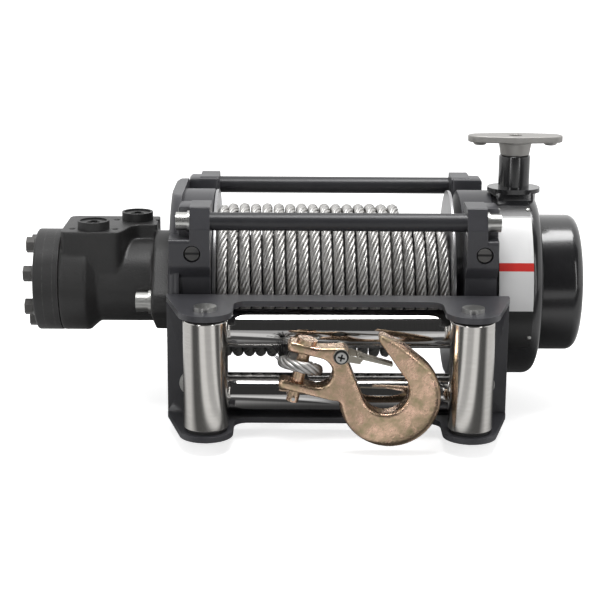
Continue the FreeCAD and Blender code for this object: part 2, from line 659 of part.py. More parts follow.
HOUSING_END_X = GEAR_SUPPORT_X + HOUSING_LENGTH
CLUTCH_X = GEAR_SUPPORT_X + CLUTCH_SETBACK


def oval(length, width, place, along):
    """Plate with straight sides and half-round ends."""
    offset = (length - width) / 2
    return hull_of_circles([(-offset, 0, width / 2), (offset, 0, width / 2)], place, along)


def ring_gear_housing():
    """Round gearbox housing with the oval boss that carries the clutch."""
    housing = turned([(GEAR_SUPPORT_X, 0, 0), (GEAR_SUPPORT_X, HOUSING_RADIUS, 0),
                      (HOUSING_END_X, HOUSING_RADIUS, HOUSING_ROUND), (HOUSING_END_X, 0, 0)])
    boss = oval(CLUTCH_BOSS_WIDTH + 4, CLUTCH_BOSS_WIDTH, lambda x, y: at(CLUTCH_X + x, CLUTCH_Y + y, 0),
                Vector(0, 0, CLUTCH_FLANGE_Z))
    limit = block(at(GEAR_SUPPORT_X, -HOUSING_RADIUS, 0), at(HOUSING_END_X, HOUSING_RADIUS, 2 * HOUSING_RADIUS))
    return joined([housing, boss.common(limit)])


def gear_end_cover():
    """Smaller round cover on the outer end of the gearbox."""
    end_x = HOUSING_END_X + GEAR_COVER_LENGTH
    return turned([(HOUSING_END_X, 0, 0), (HOUSING_END_X, GEAR_COVER_RADIUS, 0),
                   (end_x, GEAR_COVER_RADIUS, GEAR_COVER_ROUND), (end_x, 0, 0)])


def label_plate():
    """Thin sheet rolled round the front of the housing."""
    start_x = GEAR_SUPPORT_X + LABEL_MARGIN
    end_x = HOUSING_END_X - HOUSING_ROUND
    low_r = HOUSING_RADIUS + SEAT_GAP
    high_r = low_r + LABEL_THICKNESS
    face = rounded_face([(start_x, low_r, 0), (start_x, high_r, 0), (end_x, high_r, 0), (end_x, low_r, 0)],
                        lambda x, r: at(x, -r, 0))
    face.rotate(at(0, 0, 0), Vector(1, 0, 0), -LABEL_HIGH_ANGLE)
    return face.revolve(at(0, 0, 0), Vector(1, 0, 0), LABEL_HIGH_ANGLE - LABEL_LOW_ANGLE)


def clutch_post():
    """Upright cylinder on an oval flange, with the spindle that the handle turns on."""
    base = at(CLUTCH_X, CLUTCH_Y, CLUTCH_FLANGE_Z)
    up = Vector(0, 0, 1)
    flange = oval(CLUTCH_FLANGE_LENGTH, CLUTCH_FLANGE_WIDTH, lambda x, y: base + Vector(x, y, 0),
                  up * CLUTCH_FLANGE_THICKNESS)
    top = base + up * (CLUTCH_FLANGE_THICKNESS + CLUTCH_POST_HEIGHT)
    post = rod(base, top, CLUTCH_POST_RADIUS)
    post = post.makeFillet(1.5, [edge for edge in post.Edges if edge.BoundBox.ZMin > top.z - 0.1])
    spindle = rod(top - up, top + up * CLUTCH_SPINDLE_HEIGHT, CLUTCH_SPINDLE_RADIUS)
    return joined([flange, post, spindle])


def shift_handle():
    """Two-armed handle on a trumpet-shaped boss, with finger grips under its ends."""
    up = Vector(0, 0, 1)
    foot = at(CLUTCH_X, CLUTCH_Y, CLUTCH_FLANGE_Z + CLUTCH_FLANGE_THICKNESS + CLUTCH_POST_HEIGHT + RUNNING_GAP)
    wing = foot + up * HANDLE_BOSS_HEIGHT
    tip_x = HANDLE_LENGTH / 2 - HANDLE_END_RADIUS
    circles = [(-tip_x, 0, HANDLE_END_RADIUS), (0, 0, HANDLE_WIDTH / 2), (tip_x, 0, HANDLE_END_RADIUS)]
    plate = hull_of_circles(circles, lambda x, y: wing + Vector(x, y, 0), up * HANDLE_THICKNESS)
    boss = cone(foot, wing, HANDLE_BOSS_NECK_RADIUS, HANDLE_BOSS_RADIUS)
    pieces = [plate, boss]
    for side in (LEFT, RIGHT):
        grip = wing + Vector(side * tip_x, 0, 0)
        pieces.append(cone(grip - up * HANDLE_GRIP_DEPTH, grip, HANDLE_GRIP_RADIUS - 2, HANDLE_GRIP_RADIUS))
    handle = joined(pieces)
    top = wing + up * HANDLE_THICKNESS
    bore = rod(foot, foot + up * (CLUTCH_SPINDLE_HEIGHT + 1), CLUTCH_SPINDLE_RADIUS + RUNNING_GAP)
    socket = rod(top - up * HANDLE_SOCKET_DEPTH, top, HANDLE_SOCKET_RADIUS)
    return handle.cut(Part.makeCompound([bore, socket]))


# Roller fairlead

def fairlead_plate(low_z):
    """Upper or lower plate with an ear round each upright roller pin."""
    up = Vector(0, 0, FRAME_PLATE)
    back_y = -PAD_FACE_Y
    strip_y = back_y - STRIP_REACH
    strip = block(at(-UPRIGHT_ROLLER_X, strip_y, low_z), at(UPRIGHT_ROLLER_X, back_y, low_z + FRAME_PLATE))
    pieces = [strip]
    for side in (LEFT, RIGHT):
        ear = Vector(side * UPRIGHT_ROLLER_X, UPRIGHT_ROLLER_Y, 0)
        pieces.append(Part.makeCylinder(ROLLER_EAR_RADIUS, FRAME_PLATE, at(ear.x, ear.y, low_z)))
        corner = Vector(side * FRAME_HALF_WIDTH, PLATE_FRONT_Y - 2, 0)
        reach = math.hypot(corner.x - ear.x, corner.y - ear.y)
        heading = math.atan2(corner.y - ear.y, corner.x - ear.x)
        touch_angle = heading - side * math.acos(ROLLER_EAR_RADIUS / reach)
        touch = (ear.x + ROLLER_EAR_RADIUS * math.cos(touch_angle),
                 ear.y + ROLLER_EAR_RADIUS * math.sin(touch_angle))
        inner_x = side * (UPRIGHT_ROLLER_X - ROLLER_EAR_RADIUS)
        ring = [at(corner.x, back_y, low_z), at(corner.x, corner.y, low_z), at(touch[0], touch[1], low_z),
                at(ear.x, ear.y, low_z), at(inner_x, ear.y, low_z), at(inner_x, back_y, low_z),
                at(corner.x, back_y, low_z)]
        pieces.append(Part.Face(Part.makePolygon(ring)).extrude(up))
    plate = joined(pieces)
    inside = [edge for edge in plate.Edges
              if edge.Length < FRAME_PLATE + 0.01 and abs(edge.CenterOfMass.y - strip_y) < 0.1]
    return plate.makeFillet(STRIP_ROUND, inside)


def fairlead_frame():
    """Frame bent from one sheet: back plate with the rope window, upper and lower plate."""
    back = block(at(-FRAME_HALF_WIDTH, PLATE_FRONT_Y, FRAME_INNER_LOW - FRAME_PLATE),
                 at(FRAME_HALF_WIDTH, -PAD_FACE_Y, FRAME_TOP_Z))
    window = rounded_slab([(-WINDOW_HALF_WIDTH, WINDOW_Z - WINDOW_HALF_HEIGHT, WINDOW_ROUND),
                           (WINDOW_HALF_WIDTH, WINDOW_Z - WINDOW_HALF_HEIGHT, WINDOW_ROUND),
                           (WINDOW_HALF_WIDTH, WINDOW_Z + WINDOW_HALF_HEIGHT, WINDOW_ROUND),
                           (-WINDOW_HALF_WIDTH, WINDOW_Z + WINDOW_HALF_HEIGHT, WINDOW_ROUND)],
                          lambda x, z: at(x, PLATE_FRONT_Y, z), Vector(0, FRAME_PLATE, 0))
    frame = joined([back.cut(window), fairlead_plate(FRAME_INNER_TOP), fairlead_plate(FRAME_INNER_LOW - FRAME_PLATE)])
    cuts = []
    for side in (LEFT, RIGHT):
        pin = at(side * UPRIGHT_ROLLER_X, UPRIGHT_ROLLER_Y, FRAME_INNER_LOW - FRAME_PLATE)
        cuts.append(rod(pin, pin + Vector(0, 0, FRAME_INNER_HEIGHT + 2 * FRAME_PLATE), UPRIGHT_PIN_RADIUS + SEAT_GAP))
        bolt = at(side * BOLT_SPACING_X / 2, -PAD_FACE_Y, LOWER_PAD_Z)
        cuts.append(rod(bolt, bolt - Vector(0, FRAME_PLATE, 0), FAIRLEAD_BOLT_RADIUS + SEAT_GAP))
    return frame.cut(Part.makeCompound(cuts))


def cross_roller_heights():
    """Heights of the upper and the lower horizontal roller."""
    offset = CROSS_ROLLER_GAP / 2 + CROSS_ROLLER_RADIUS
    return [WINDOW_Z + offset, WINDOW_Z - offset]


def fairlead_side_plates():
    """Two plates welded into the frame that hold the horizontal pins."""
    plates = []
    for side in (LEFT, RIGHT):
        front_y = PLATE_FRONT_Y - SIDE_PLATE_REACH
        corners = [(PLATE_FRONT_Y, FRAME_INNER_LOW, 0), (front_y, FRAME_INNER_LOW, SIDE_PLATE_ROUND),
                   (front_y, FRAME_INNER_TOP, SIDE_PLATE_ROUND), (PLATE_FRONT_Y, FRAME_INNER_TOP, 0)]
        inner_x = side * SIDE_PLATE_X
        plate = rounded_slab(corners, lambda y, z: at(inner_x, y, z), Vector(side * SIDE_PLATE_THICKNESS, 0, 0))
        holes = [rod(at(inner_x, CROSS_ROLLER_Y, z), at(inner_x + side * SIDE_PLATE_THICKNESS, CROSS_ROLLER_Y, z),
                     CROSS_PIN_RADIUS + SEAT_GAP) for z in cross_roller_heights()]
        plates.append(plate.cut(Part.makeCompound(holes)))
    return plates


def cross_roller_pins():
    """Pins of the horizontal rollers, headed at both ends."""
    pins = []
    shank_x = SIDE_PLATE_X + SIDE_PLATE_THICKNESS
    for z in cross_roller_heights():
        pieces = [rod(at(-shank_x, CROSS_ROLLER_Y, z), at(shank_x, CROSS_ROLLER_Y, z), CROSS_PIN_RADIUS)]
        for side in (LEFT, RIGHT):
            pieces.append(rod(at(side * shank_x, CROSS_ROLLER_Y, z),
                              at(side * (shank_x + CROSS_PIN_HEAD_LENGTH), CROSS_ROLLER_Y, z), CROSS_PIN_HEAD_RADIUS))
        pins.append(joined(pieces))
    return pins


def tube(start, end, radius, bore_radius):
    """Roller between two points with rounded edges and a bore for its pin."""
    body = rod(start, end, radius)
    body = body.makeFillet(ROLLER_EDGE, [edge for edge in body.Edges if edge.Closed])
    return body.cut(rod(start, end, bore_radius))


def cross_roller(z):
    """Horizontal roller."""
    half = SIDE_PLATE_X - CROSS_ROLLER_END_GAP
    return tube(at(-half, CROSS_ROLLER_Y, z), at(half, CROSS_ROLLER_Y, z), CROSS_ROLLER_RADIUS,
                CROSS_PIN_RADIUS + RUNNING_GAP)


def upright_roller(side):
    """Vertical roller between its two washers."""
    low = FRAME_INNER_LOW + ROLLER_WASHER_THICKNESS + RUNNING_GAP
    high = FRAME_INNER_TOP - ROLLER_WASHER_THICKNESS - RUNNING_GAP
    x = side * UPRIGHT_ROLLER_X
    return tube(at(x, UPRIGHT_ROLLER_Y, low), at(x, UPRIGHT_ROLLER_Y, high), UPRIGHT_ROLLER_RADIUS,
                UPRIGHT_PIN_RADIUS + RUNNING_GAP)


def upright_roller_pins():
    """Pins of the vertical rollers, with a head on top and a clipped tail below."""
    pins = []
    for side in (LEFT, RIGHT):
        top = at(side * UPRIGHT_ROLLER_X, UPRIGHT_ROLLER_Y, FRAME_TOP_Z)
        up = Vector(0, 0, 1)
        bottom = top - up * (FRAME_INNER_HEIGHT + 2 * FRAME_PLATE)
        shank = rod(bottom - up * UPRIGHT_PIN_TAIL, top, UPRIGHT_PIN_RADIUS)
        head = rod(top, top + up * UPRIGHT_PIN_HEAD_HEIGHT, UPRIGHT_PIN_HEAD_RADIUS)
        clip = rod(bottom - up * 1.5, bottom, UPRIGHT_PIN_HEAD_RADIUS)
        pins.append(joined([shank, head, clip]))
    return pins


def roller_washers():
    """Plastic washers above and below the vertical rollers."""
    rings = []
    for side in (LEFT, RIGHT):
        for z, up in ((FRAME_INNER_LOW, 1), (FRAME_INNER_TOP, -1)):
            rings.append(washer(at(side * UPRIGHT_ROLLER_X, UPRIGHT_ROLLER_Y, z), Vector(0, 0, up),
                                ROLLER_WASHER_THICKNESS, ROLLER_WASHER_RADIUS, UPRIGHT_PIN_RADIUS + SEAT_GAP))
    return rings


def fairlead_bolts():
    """Two hexagon bolts that hold the fairlead to the lower pads."""
    bolts = []
    outward = Vector(0, -1, 0)
    for side in (LEFT, RIGHT):
        seat = at(side * BOLT_SPACING_X / 2, PLATE_FRONT_Y, LOWER_PAD_Z)
        head = seat + outward * FAIRLEAD_WASHER_THICKNESS
        pieces = [hexagon(head, head + outward * FAIRLEAD_BOLT_HEAD, FAIRLEAD_BOLT_FLATS),
                  rod(seat, head, FAIRLEAD_WASHER_RADIUS),
                  rod(head, seat - outward * (FRAME_PLATE + FAIRLEAD_BOLT_REACH), FAIRLEAD_BOLT_RADIUS)]
        bolts.append(joined(pieces))
    return bolts


# Rope lead, ferrule and eye

HOOK_PIN = at(HOOK_PIN_X, HOOK_PIN_Y, HOOK_PIN_Z)
TILT = math.radians(HOOK_TILT)
P_AXIS = Vector(math.cos(TILT), 0, -math.sin(TILT))
Q_AXIS = Vector(math.sin(TILT), 0, math.cos(TILT))


def lead_direction():
    """Unit vector from the drum to the hook pin, along the rope that leaves the underside of the drum."""
    centre_radius = OUTER_LAYER_RADIUS - ROPE_RADIUS
    pin_distance = math.hypot(HOOK_PIN_Y, HOOK_PIN_Z)
    pin_angle = math.atan2(-HOOK_PIN_Z, -HOOK_PIN_Y)
    touch_angle = pin_angle + math.acos(centre_radius / pin_distance)
    touch = at(LEAD_DRUM_X, -centre_radius * math.cos(touch_angle), -centre_radius * math.sin(touch_angle))
    return touch, (HOOK_PIN - touch).normalize()


def rope_lead():
    """Straight rope from where it is clear of the winding to the ferrule."""
    touch, along = lead_direction()
    centre_radius = OUTER_LAYER_RADIUS - ROPE_RADIUS
    inner_radius = centre_radius - ROPE_RADIUS
    start = touch + along * math.sqrt((OUTER_LAYER_RADIUS + 3 * RUNNING_GAP) ** 2 - inner_radius ** 2)
    end = HOOK_PIN - along * (EYE_LENGTH + FERRULE_LENGTH)
    print("rope lead from", start, "to", end, "length", (end - start).Length)
    return rod(start, end, ROPE_RADIUS)


def eye_axes():
    """Origin and in-plane axes of the rope eye: sideways and forward."""
    forward = lead_direction()[1]
    upward = forward.cross(P_AXIS).normalize() * -1
    sideways = upward.cross(forward).normalize() * -1
    return forward, sideways, upward


def rope_ferrule():
    """Pressed sleeve over the two rope strands behind the eye."""
    forward, sideways, upward = eye_axes()
    half_width = 2 * ROPE_RADIUS + FERRULE_WALL
    half_height = ROPE_RADIUS + FERRULE_WALL
    back = HOOK_PIN - forward * (EYE_LENGTH + FERRULE_LENGTH)
    offset = half_width - half_height
    return hull_of_circles([(-offset, 0, half_height), (offset, 0, half_height)],
                           lambda a, b: back + sideways * a + upward * b, forward * FERRULE_LENGTH)


def rope_eye():
    """Rope loop round the clevis pin, closed by the ferrule."""
    forward, sideways, upward = eye_axes()
    radius = EYE_INNER_RADIUS + ROPE_RADIUS
    strand = ROPE_RADIUS + EYE_STRAND_GAP
    nose = EYE_INNER_RADIUS - CLEVIS_PIN_RADIUS - EYE_SLACK
    centre = HOOK_PIN - forward * nose
    back = nose - EYE_LENGTH - ROPE_RADIUS / 2
    distance = math.hypot(back, strand)
    lean = math.acos(radius / distance)

    def place(a, b):
        return centre + sideways * a + forward * b

    touch_a = radius * math.sin(lean + math.atan2(strand, -back))
    touch_b = -radius * math.cos(lean + math.atan2(strand, -back))
    right = place(touch_a, touch_b)
    left = place(-touch_a, touch_b)
    edges = [Part.makeLine(place(-strand, back), left), Part.Arc(left, place(0, radius), right).toShape(),
             Part.makeLine(right, place(strand, back))]
    path = Part.Wire(edges)
    start = place(-strand, back)
    ring = Part.Wire(Part.makeCircle(ROPE_RADIUS, start, left - start))
    loop = path.makePipeShell([ring], True, False)
    return loop.cut(rope_ferrule())


# Hook

def hook_at(p, q, y=0.0):
    """Point in the hook's plane, y towards the front being negative."""
    return HOOK_PIN + P_AXIS * p + Q_AXIS * q + Vector(0, y, 0)


def on_circle(centre, radius, degrees):
    """Point on a circle in the hook's plane."""
    angle = math.radians(degrees)
    return centre[0] + radius * math.cos(angle), centre[1] + radius * math.sin(angle)


def hook_outline():
    """Closed wire round the hook: ears, throat, shank, bowl and point."""
    half_gap = CLEVIS_GAP / 2
    outside = half_gap + CLEVIS_EAR_THICKNESS
    throat_centre = CLEVIS_DEPTH - half_gap

    def point(pair):
        return hook_at(pair[0], pair[1], -HOOK_THICKNESS / 2)

    def line(first, last):
        return Part.makeLine(point(first), point(last))

    def arc(first, middle, last):
        return Part.Arc(point(first), point(middle), point(last)).toShape()

    upper_end = (-CLEVIS_EAR_END, half_gap)
    upper_tip = (-CLEVIS_EAR_END, outside)
    boss_start = on_circle(LATCH_PIVOT, LATCH_BOSS_RADIUS, 100)
    boss_end = on_circle(LATCH_PIVOT, LATCH_BOSS_RADIUS, -25)
    bowl_start = on_circle(BOWL_CENTRE, BOWL_RADIUS, 212)
    bowl_end = on_circle(BOWL_CENTRE, BOWL_RADIUS, 58)
    back_start = on_circle(BACK_CENTRE, BACK_RADIUS, 62)
    back_end = on_circle(BACK_CENTRE, BACK_RADIUS, 197)
    tip_upper = (POINT_TIP[0] + POINT_HALF_WIDTH / 2, POINT_TIP[1] + POINT_HALF_WIDTH)
    tip_lower = (POINT_TIP[0] - POINT_HALF_WIDTH / 4, POINT_TIP[1] - POINT_HALF_WIDTH)
    tip_end = (POINT_TIP[0] - POINT_HALF_WIDTH / 2, POINT_TIP[1] + POINT_HALF_WIDTH / 4)
    lower_tip = (-CLEVIS_EAR_END, -outside)
    lower_end = (-CLEVIS_EAR_END, -half_gap)
    ear_middle = -CLEVIS_EAR_END - EAR_END_BULGE
    edges = [
        line((throat_centre, half_gap), upper_end),
        arc(upper_end, (ear_middle, (half_gap + outside) / 2), upper_tip),
        line(upper_tip, (EAR_TOP_P, outside)),
        line((EAR_TOP_P, outside), boss_start),
        arc(boss_start, on_circle(LATCH_PIVOT, LATCH_BOSS_RADIUS, 30), boss_end),
        line(boss_end, bowl_start),
        arc(bowl_start, on_circle(BOWL_CENTRE, BOWL_RADIUS, -50), bowl_end),
        line(bowl_end, tip_lower),
        arc(tip_lower, tip_end, tip_upper),
        line(tip_upper, POINT_ROOT),
        line(POINT_ROOT, back_start),
        arc(back_start, on_circle(BACK_CENTRE, BACK_RADIUS, -50), back_end),
        line(back_end, (SHANK_END_P, -outside)),
        line((SHANK_END_P, -outside), lower_tip),
        arc(lower_tip, (ear_middle, -(half_gap + outside) / 2), lower_end),
        line(lower_end, (throat_centre, -half_gap)),
        arc((throat_centre, -half_gap), (CLEVIS_DEPTH, 0), (throat_centre, half_gap)),
    ]
    return Part.Wire(edges)


def hook():
    """Forged clevis slip hook."""
    body = Part.Face(hook_outline()).extrude(Vector(0, HOOK_THICKNESS, 0))
    front_y = HOOK_PIN.y - HOOK_THICKNESS / 2
    back_y = HOOK_PIN.y + HOOK_THICKNESS / 2
    rims = [edge for edge in body.Edges
            if (edge.BoundBox.YMax < front_y + 0.1 or edge.BoundBox.YMin > back_y - 0.1)
            and isinstance(edge.Curve, Part.Circle) and edge.Curve.Radius >= BOWL_RADIUS]
    body = body.makeChamfer(HOOK_EDGE_ROUND, rims)
    reach = CLEVIS_GAP / 2 + CLEVIS_EAR_THICKNESS + 1
    hole = rod(hook_at(0, -reach), hook_at(0, reach), CLEVIS_PIN_RADIUS + SEAT_GAP)
    pivot = LATCH_PIVOT
    screw = rod(hook_at(pivot[0], pivot[1], -HOOK_THICKNESS), hook_at(pivot[0], pivot[1], HOOK_THICKNESS),
                LATCH_SCREW_RADIUS + SEAT_GAP)
    return body.cut(Part.makeCompound([hole, screw]))


def clevis_pin():
    """Headed pin through the clevis, drilled for its cotter."""
    ear = CLEVIS_GAP / 2 + CLEVIS_EAR_THICKNESS
    shank = rod(hook_at(0, -ear - CLEVIS_PIN_TAIL), hook_at(0, ear), CLEVIS_PIN_RADIUS)
    head = rod(hook_at(0, ear), hook_at(0, ear + CLEVIS_PIN_HEAD_HEIGHT), CLEVIS_PIN_HEAD_RADIUS)
    q = -ear - COTTER_FROM_EAR
    hole = rod(hook_at(0, q, -CLEVIS_PIN_HEAD_RADIUS), hook_at(0, q, CLEVIS_PIN_HEAD_RADIUS), COTTER_RADIUS + SEAT_GAP)
    return joined([shank, head]).cut(hole)


def cotter_pin():
    """Split pin through the tail of the clevis pin."""
    q = -CLEVIS_GAP / 2 - CLEVIS_EAR_THICKNESS - COTTER_FROM_EAR
    return rod(hook_at(0, q, -COTTER_HALF_LENGTH), hook_at(0, q, COTTER_HALF_LENGTH), COTTER_RADIUS)


def latch_screw():
    """Cross-head screw that the latch turns on, with a head at both faces of the latch."""
    p, q = LATCH_PIVOT
    face = HOOK_THICKNESS / 2 + LATCH_SIDE_GAP + LATCH_SHEET + LATCH_SIDE_GAP
    shank = rod(hook_at(p, q, -face), hook_at(p, q, face), LATCH_SCREW_RADIUS)
    head = rod(hook_at(p, q, -face - LATCH_SCREW_HEAD_HEIGHT), hook_at(p, q, -face), LATCH_SCREW_HEAD_RADIUS)
    tail = rod(hook_at(p, q, face), hook_at(p, q, face + LATCH_SCREW_HEAD_HEIGHT), LATCH_SCREW_HEAD_RADIUS)
    return joined([shank, head, tail])


def hook_latch():
    """Bent sheet latch: a cheek on each side of the hook and a strap that closes the mouth."""
    p, q = LATCH_PIVOT
    lean = math.radians(LATCH_ANGLE)
    cheek_y = HOOK_THICKNESS / 2 + LATCH_SIDE_GAP
    tip = (p + LATCH_LENGTH * math.cos(lean), q + LATCH_LENGTH * math.sin(lean))
    cheeks = []
    for y in (-cheek_y - LATCH_SHEET, cheek_y):
        circles = [(p, q, LATCH_BOSS_RADIUS - 0.6), (tip[0], tip[1], 2.0)]
        cheeks.append(hull_of_circles(circles, lambda a, b, y=y: hook_at(a, b, y), Vector(0, LATCH_SHEET, 0)))
    strap_start = (p + LATCH_BOSS_RADIUS + LATCH_STRAP_OFFSET, q + 1.0)
    ring = [(strap_start[0], strap_start[1]), (tip[0], tip[1] + 1.0), (tip[0], tip[1] - 1.0),
            (strap_start[0], strap_start[1] - 2.0), (strap_start[0], strap_start[1])]
    strap = Part.Face(Part.makePolygon([hook_at(a, b, -cheek_y) for a, b in ring]))
    latch = joined(cheeks + [strap.extrude(Vector(0, 2 * cheek_y, 0))])
    bore = rod(hook_at(p, q, -HOOK_THICKNESS), hook_at(p, q, HOOK_THICKNESS), LATCH_SCREW_RADIUS + RUNNING_GAP)
    return latch.cut(bore)


def write(name, shape):
    """One STEP file per sub-part."""
    if isinstance(shape, list):
        shape = Part.makeCompound(shape)
    for solid in shape.Solids:
        if not solid.isValid():
            print(name, "has a solid that is not valid")
    shape.exportStep(os.path.join("parts", name + ".step"))
    print(name, len(shape.Solids), "solids", round(shape.Volume), "mm3")


os.makedirs("parts", exist_ok=True)
upper_z, lower_z = cross_roller_heights()
front_port, rear_port = motor_ports()
write("motor_support", support(LEFT, MOTOR_SUPPORT_WIDTH, MOTOR_RIM_ROUND))
write("gear_support", support(RIGHT, GEAR_SUPPORT_WIDTH, GEAR_RIM_ROUND))
write("mounting_nuts", mounting_nuts())
write("front_tie_bar", tie_bar(FRONT))
write("rear_tie_bar", tie_bar(REAR))
write("tie_bar_screws", tie_bar_screws())
write("drum_barrel", drum_barrel())
write("drum_flange_left", drum_flange(LEFT))
write("drum_flange_right", drum_flange(RIGHT))
write("rope_winding", rope_winding(0, OUTER_LAYER_TURNS, OUTER_LAYER_RADIUS))
write("rope_lower_layer", rope_winding(OUTER_LAYER_TURNS, ROPE_TURNS, OUTER_LAYER_RADIUS - LAYER_STEP))
write("motor_body", motor_body())
write("motor_spacer_plate", motor_disc(MOTOR_CASE_END, SPACER_END, 0))
write("motor_gerotor_ring", motor_disc(SPACER_END, GEROTOR_END, 0))
write("motor_end_cover", motor_end_cover())
write("motor_cover_bolts", motor_cover_bolts())
write("motor_port_plug_front", port_plug(front_port))
write("motor_port_plug_rear", port_plug(rear_port))
write("motor_flange_bolts", motor_flange_bolts())
write("ring_gear_housing", ring_gear_housing())
write("gear_end_cover", gear_end_cover())
write("label_plate", label_plate())
write("clutch_post", clutch_post())
write("shift_handle", shift_handle())
write("fairlead_frame", fairlead_frame())
write("fairlead_side_plates", fairlead_side_plates())
write("cross_roller_pins", cross_roller_pins())
write("upper_roller", cross_roller(upper_z))
write("lower_roller", cross_roller(lower_z))
write("vertical_roller_left", upright_roller(LEFT))
write("vertical_roller_right", upright_roller(RIGHT))
write("upright_roller_pins", upright_roller_pins())
write("roller_washers", roller_washers())
write("fairlead_bolts", fairlead_bolts())
write("rope_lead", rope_lead())
write("rope_ferrule", rope_ferrule())
write("rope_eye", rope_eye())
write("hook", hook())
write("clevis_pin", clevis_pin())
write("cotter_pin", cotter_pin())
write("latch_screw", latch_screw())
write("hook_latch", hook_latch())
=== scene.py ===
# %% [markdown]
# # A hydraulic recovery winch
# The solids of the winch come from its CAD model. This script gives them their finishes, and adds what
# a solid can't show well: the twisted strands of the wire rope, soft cast edges, rivets and screws.
# Every step says what the real thing is, how it could be made, and why this way was chosen.

# %% Load the frame
import math
import random

import bmesh
import bpy
from mathutils import Matrix, Vector


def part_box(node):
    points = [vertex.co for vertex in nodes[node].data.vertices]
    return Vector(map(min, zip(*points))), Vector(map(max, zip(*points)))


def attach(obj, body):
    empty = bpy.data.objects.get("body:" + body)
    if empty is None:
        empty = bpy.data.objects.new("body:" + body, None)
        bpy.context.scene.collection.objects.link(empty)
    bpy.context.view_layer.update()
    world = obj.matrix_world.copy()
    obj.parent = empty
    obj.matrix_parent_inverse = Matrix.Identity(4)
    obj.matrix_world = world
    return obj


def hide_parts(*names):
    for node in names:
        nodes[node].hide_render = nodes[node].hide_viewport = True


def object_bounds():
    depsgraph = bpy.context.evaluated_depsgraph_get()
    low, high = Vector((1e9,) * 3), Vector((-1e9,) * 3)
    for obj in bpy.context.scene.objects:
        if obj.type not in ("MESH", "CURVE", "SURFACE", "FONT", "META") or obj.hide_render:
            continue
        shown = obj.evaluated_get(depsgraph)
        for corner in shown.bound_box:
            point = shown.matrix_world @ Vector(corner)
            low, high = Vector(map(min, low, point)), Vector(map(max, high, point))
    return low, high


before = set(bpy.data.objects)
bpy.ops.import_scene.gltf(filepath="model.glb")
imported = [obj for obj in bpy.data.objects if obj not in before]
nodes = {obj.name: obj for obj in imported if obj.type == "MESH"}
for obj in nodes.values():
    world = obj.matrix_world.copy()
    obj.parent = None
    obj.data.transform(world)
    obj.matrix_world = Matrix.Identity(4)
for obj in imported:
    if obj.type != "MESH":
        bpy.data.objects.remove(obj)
cad_low, cad_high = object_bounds()
print("frame holds", len(nodes), "nodes")

# %% [markdown]
# ## Places taken from the frame
# The winch is built round the axis of its drum, so that axis is read from the drum's solid, and the outer
# radius of the rope from the solid of its winding. Lengths are written in millimetres, with the height
# counted from the drum axis, and one helper turns such a place into the metres of the scene.

# %% Read the places
MM = 0.001
barrel_low, barrel_high = (Vector(corner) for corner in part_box("drum_barrel"))
drum_axis = (barrel_low + barrel_high) / 2
drum_axis.x = 0
winding_low, winding_high = (Vector(corner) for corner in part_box("rope_winding"))
outer_radius = (winding_high.z - winding_low.z) / 2


def at(x, y, z):
    """Point of the scene from millimetres, with z counted from the drum axis."""
    return Vector((x * MM, y * MM, drum_axis.z + z * MM))


print("drum axis", drum_axis, "outer rope radius", outer_radius)

# %% [markdown]
# ## Camera
# A product photo like this is taken from well back with a long lens, a little above the object. The
# camera looks along +Y and down, and its lens is long, so that the ends of the winch hardly converge.

# %% Set the camera
CAMERA_DISTANCE = 1.495
CAMERA_ELEVATION = math.radians(14.3)
CAMERA_LEFT = -0.033
CAMERA_ROLL = math.radians(0.35)
VIEW_BELOW_AXIS = 0.0186
LENS_MM = 96.0
SENSOR_MM = 36.0
CLIP_START = 0.05


def add_object(name, data):
    """New object at the origin, linked to the scene."""
    made = bpy.data.objects.new(name, data)
    bpy.context.scene.collection.objects.link(made)
    return made


look = Vector((0, math.cos(CAMERA_ELEVATION), -math.sin(CAMERA_ELEVATION)))
upward = Vector((0, math.sin(CAMERA_ELEVATION), math.cos(CAMERA_ELEVATION)))
camera_data = bpy.data.cameras.new("camera")
camera_data.lens = LENS_MM
camera_data.sensor_width = SENSOR_MM
camera_data.clip_start = CLIP_START
camera = add_object("camera", camera_data)
aim = Vector((CAMERA_LEFT, 0, drum_axis.z)) - upward * VIEW_BELOW_AXIS
camera.location = aim - look * CAMERA_DISTANCE
turn = look.to_track_quat("-Z", "Y").to_matrix().to_4x4()
camera.rotation_euler = (turn @ Matrix.Rotation(CAMERA_ROLL, 4, "Z")).to_euler()
bpy.context.scene.camera = camera
bpy.context.scene.view_settings.view_transform = "Standard"
print("camera at", camera.location)

# %% [markdown]
# ## Helpers for nodes
# Every material, the world and the rope are trees of nodes. A node is made, its numbers are set on its input
# sockets, and links carry what changes from place to place. These helpers make the nodes that are needed
# most, and each gives back the socket that the next node reads.

# %% Make and join nodes


def new_node(tree, kind, **settings):
    """New node with some of its properties set."""
    node = tree.nodes.new(kind)
    for name, value in settings.items():
        setattr(node, name, value)
    return node


def link_nodes(tree, *pairs):
    """Joins pairs of sockets."""
    for first, second in pairs:
        tree.links.new(first, second)


def feed(tree, value, socket):
    """Gives a socket a number, or a link from another socket."""
    if isinstance(value, (int, float)):
        socket.default_value = value
    else:
        tree.links.new(value, socket)


def maths(tree, operation, *values):
    """Math node with sockets or numbers as its values."""
    node = new_node(tree, "ShaderNodeMath", operation=operation)
    for value, socket in zip(values, node.inputs):
        feed(tree, value, socket)
    return node.outputs["Value"]


def vector_maths(tree, operation, first, second):
    """Vector Math node on two vectors, or on a vector and its scale."""
    node = new_node(tree, "ShaderNodeVectorMath", operation=operation)
    target = node.inputs["Scale"] if operation == "SCALE" else node.inputs[1]
    link_nodes(tree, (first, node.inputs[0]), (second, target))
    return node.outputs["Value" if operation == "DOT_PRODUCT" else "Vector"]


print("node helpers ready")

# %% Read and stretch places


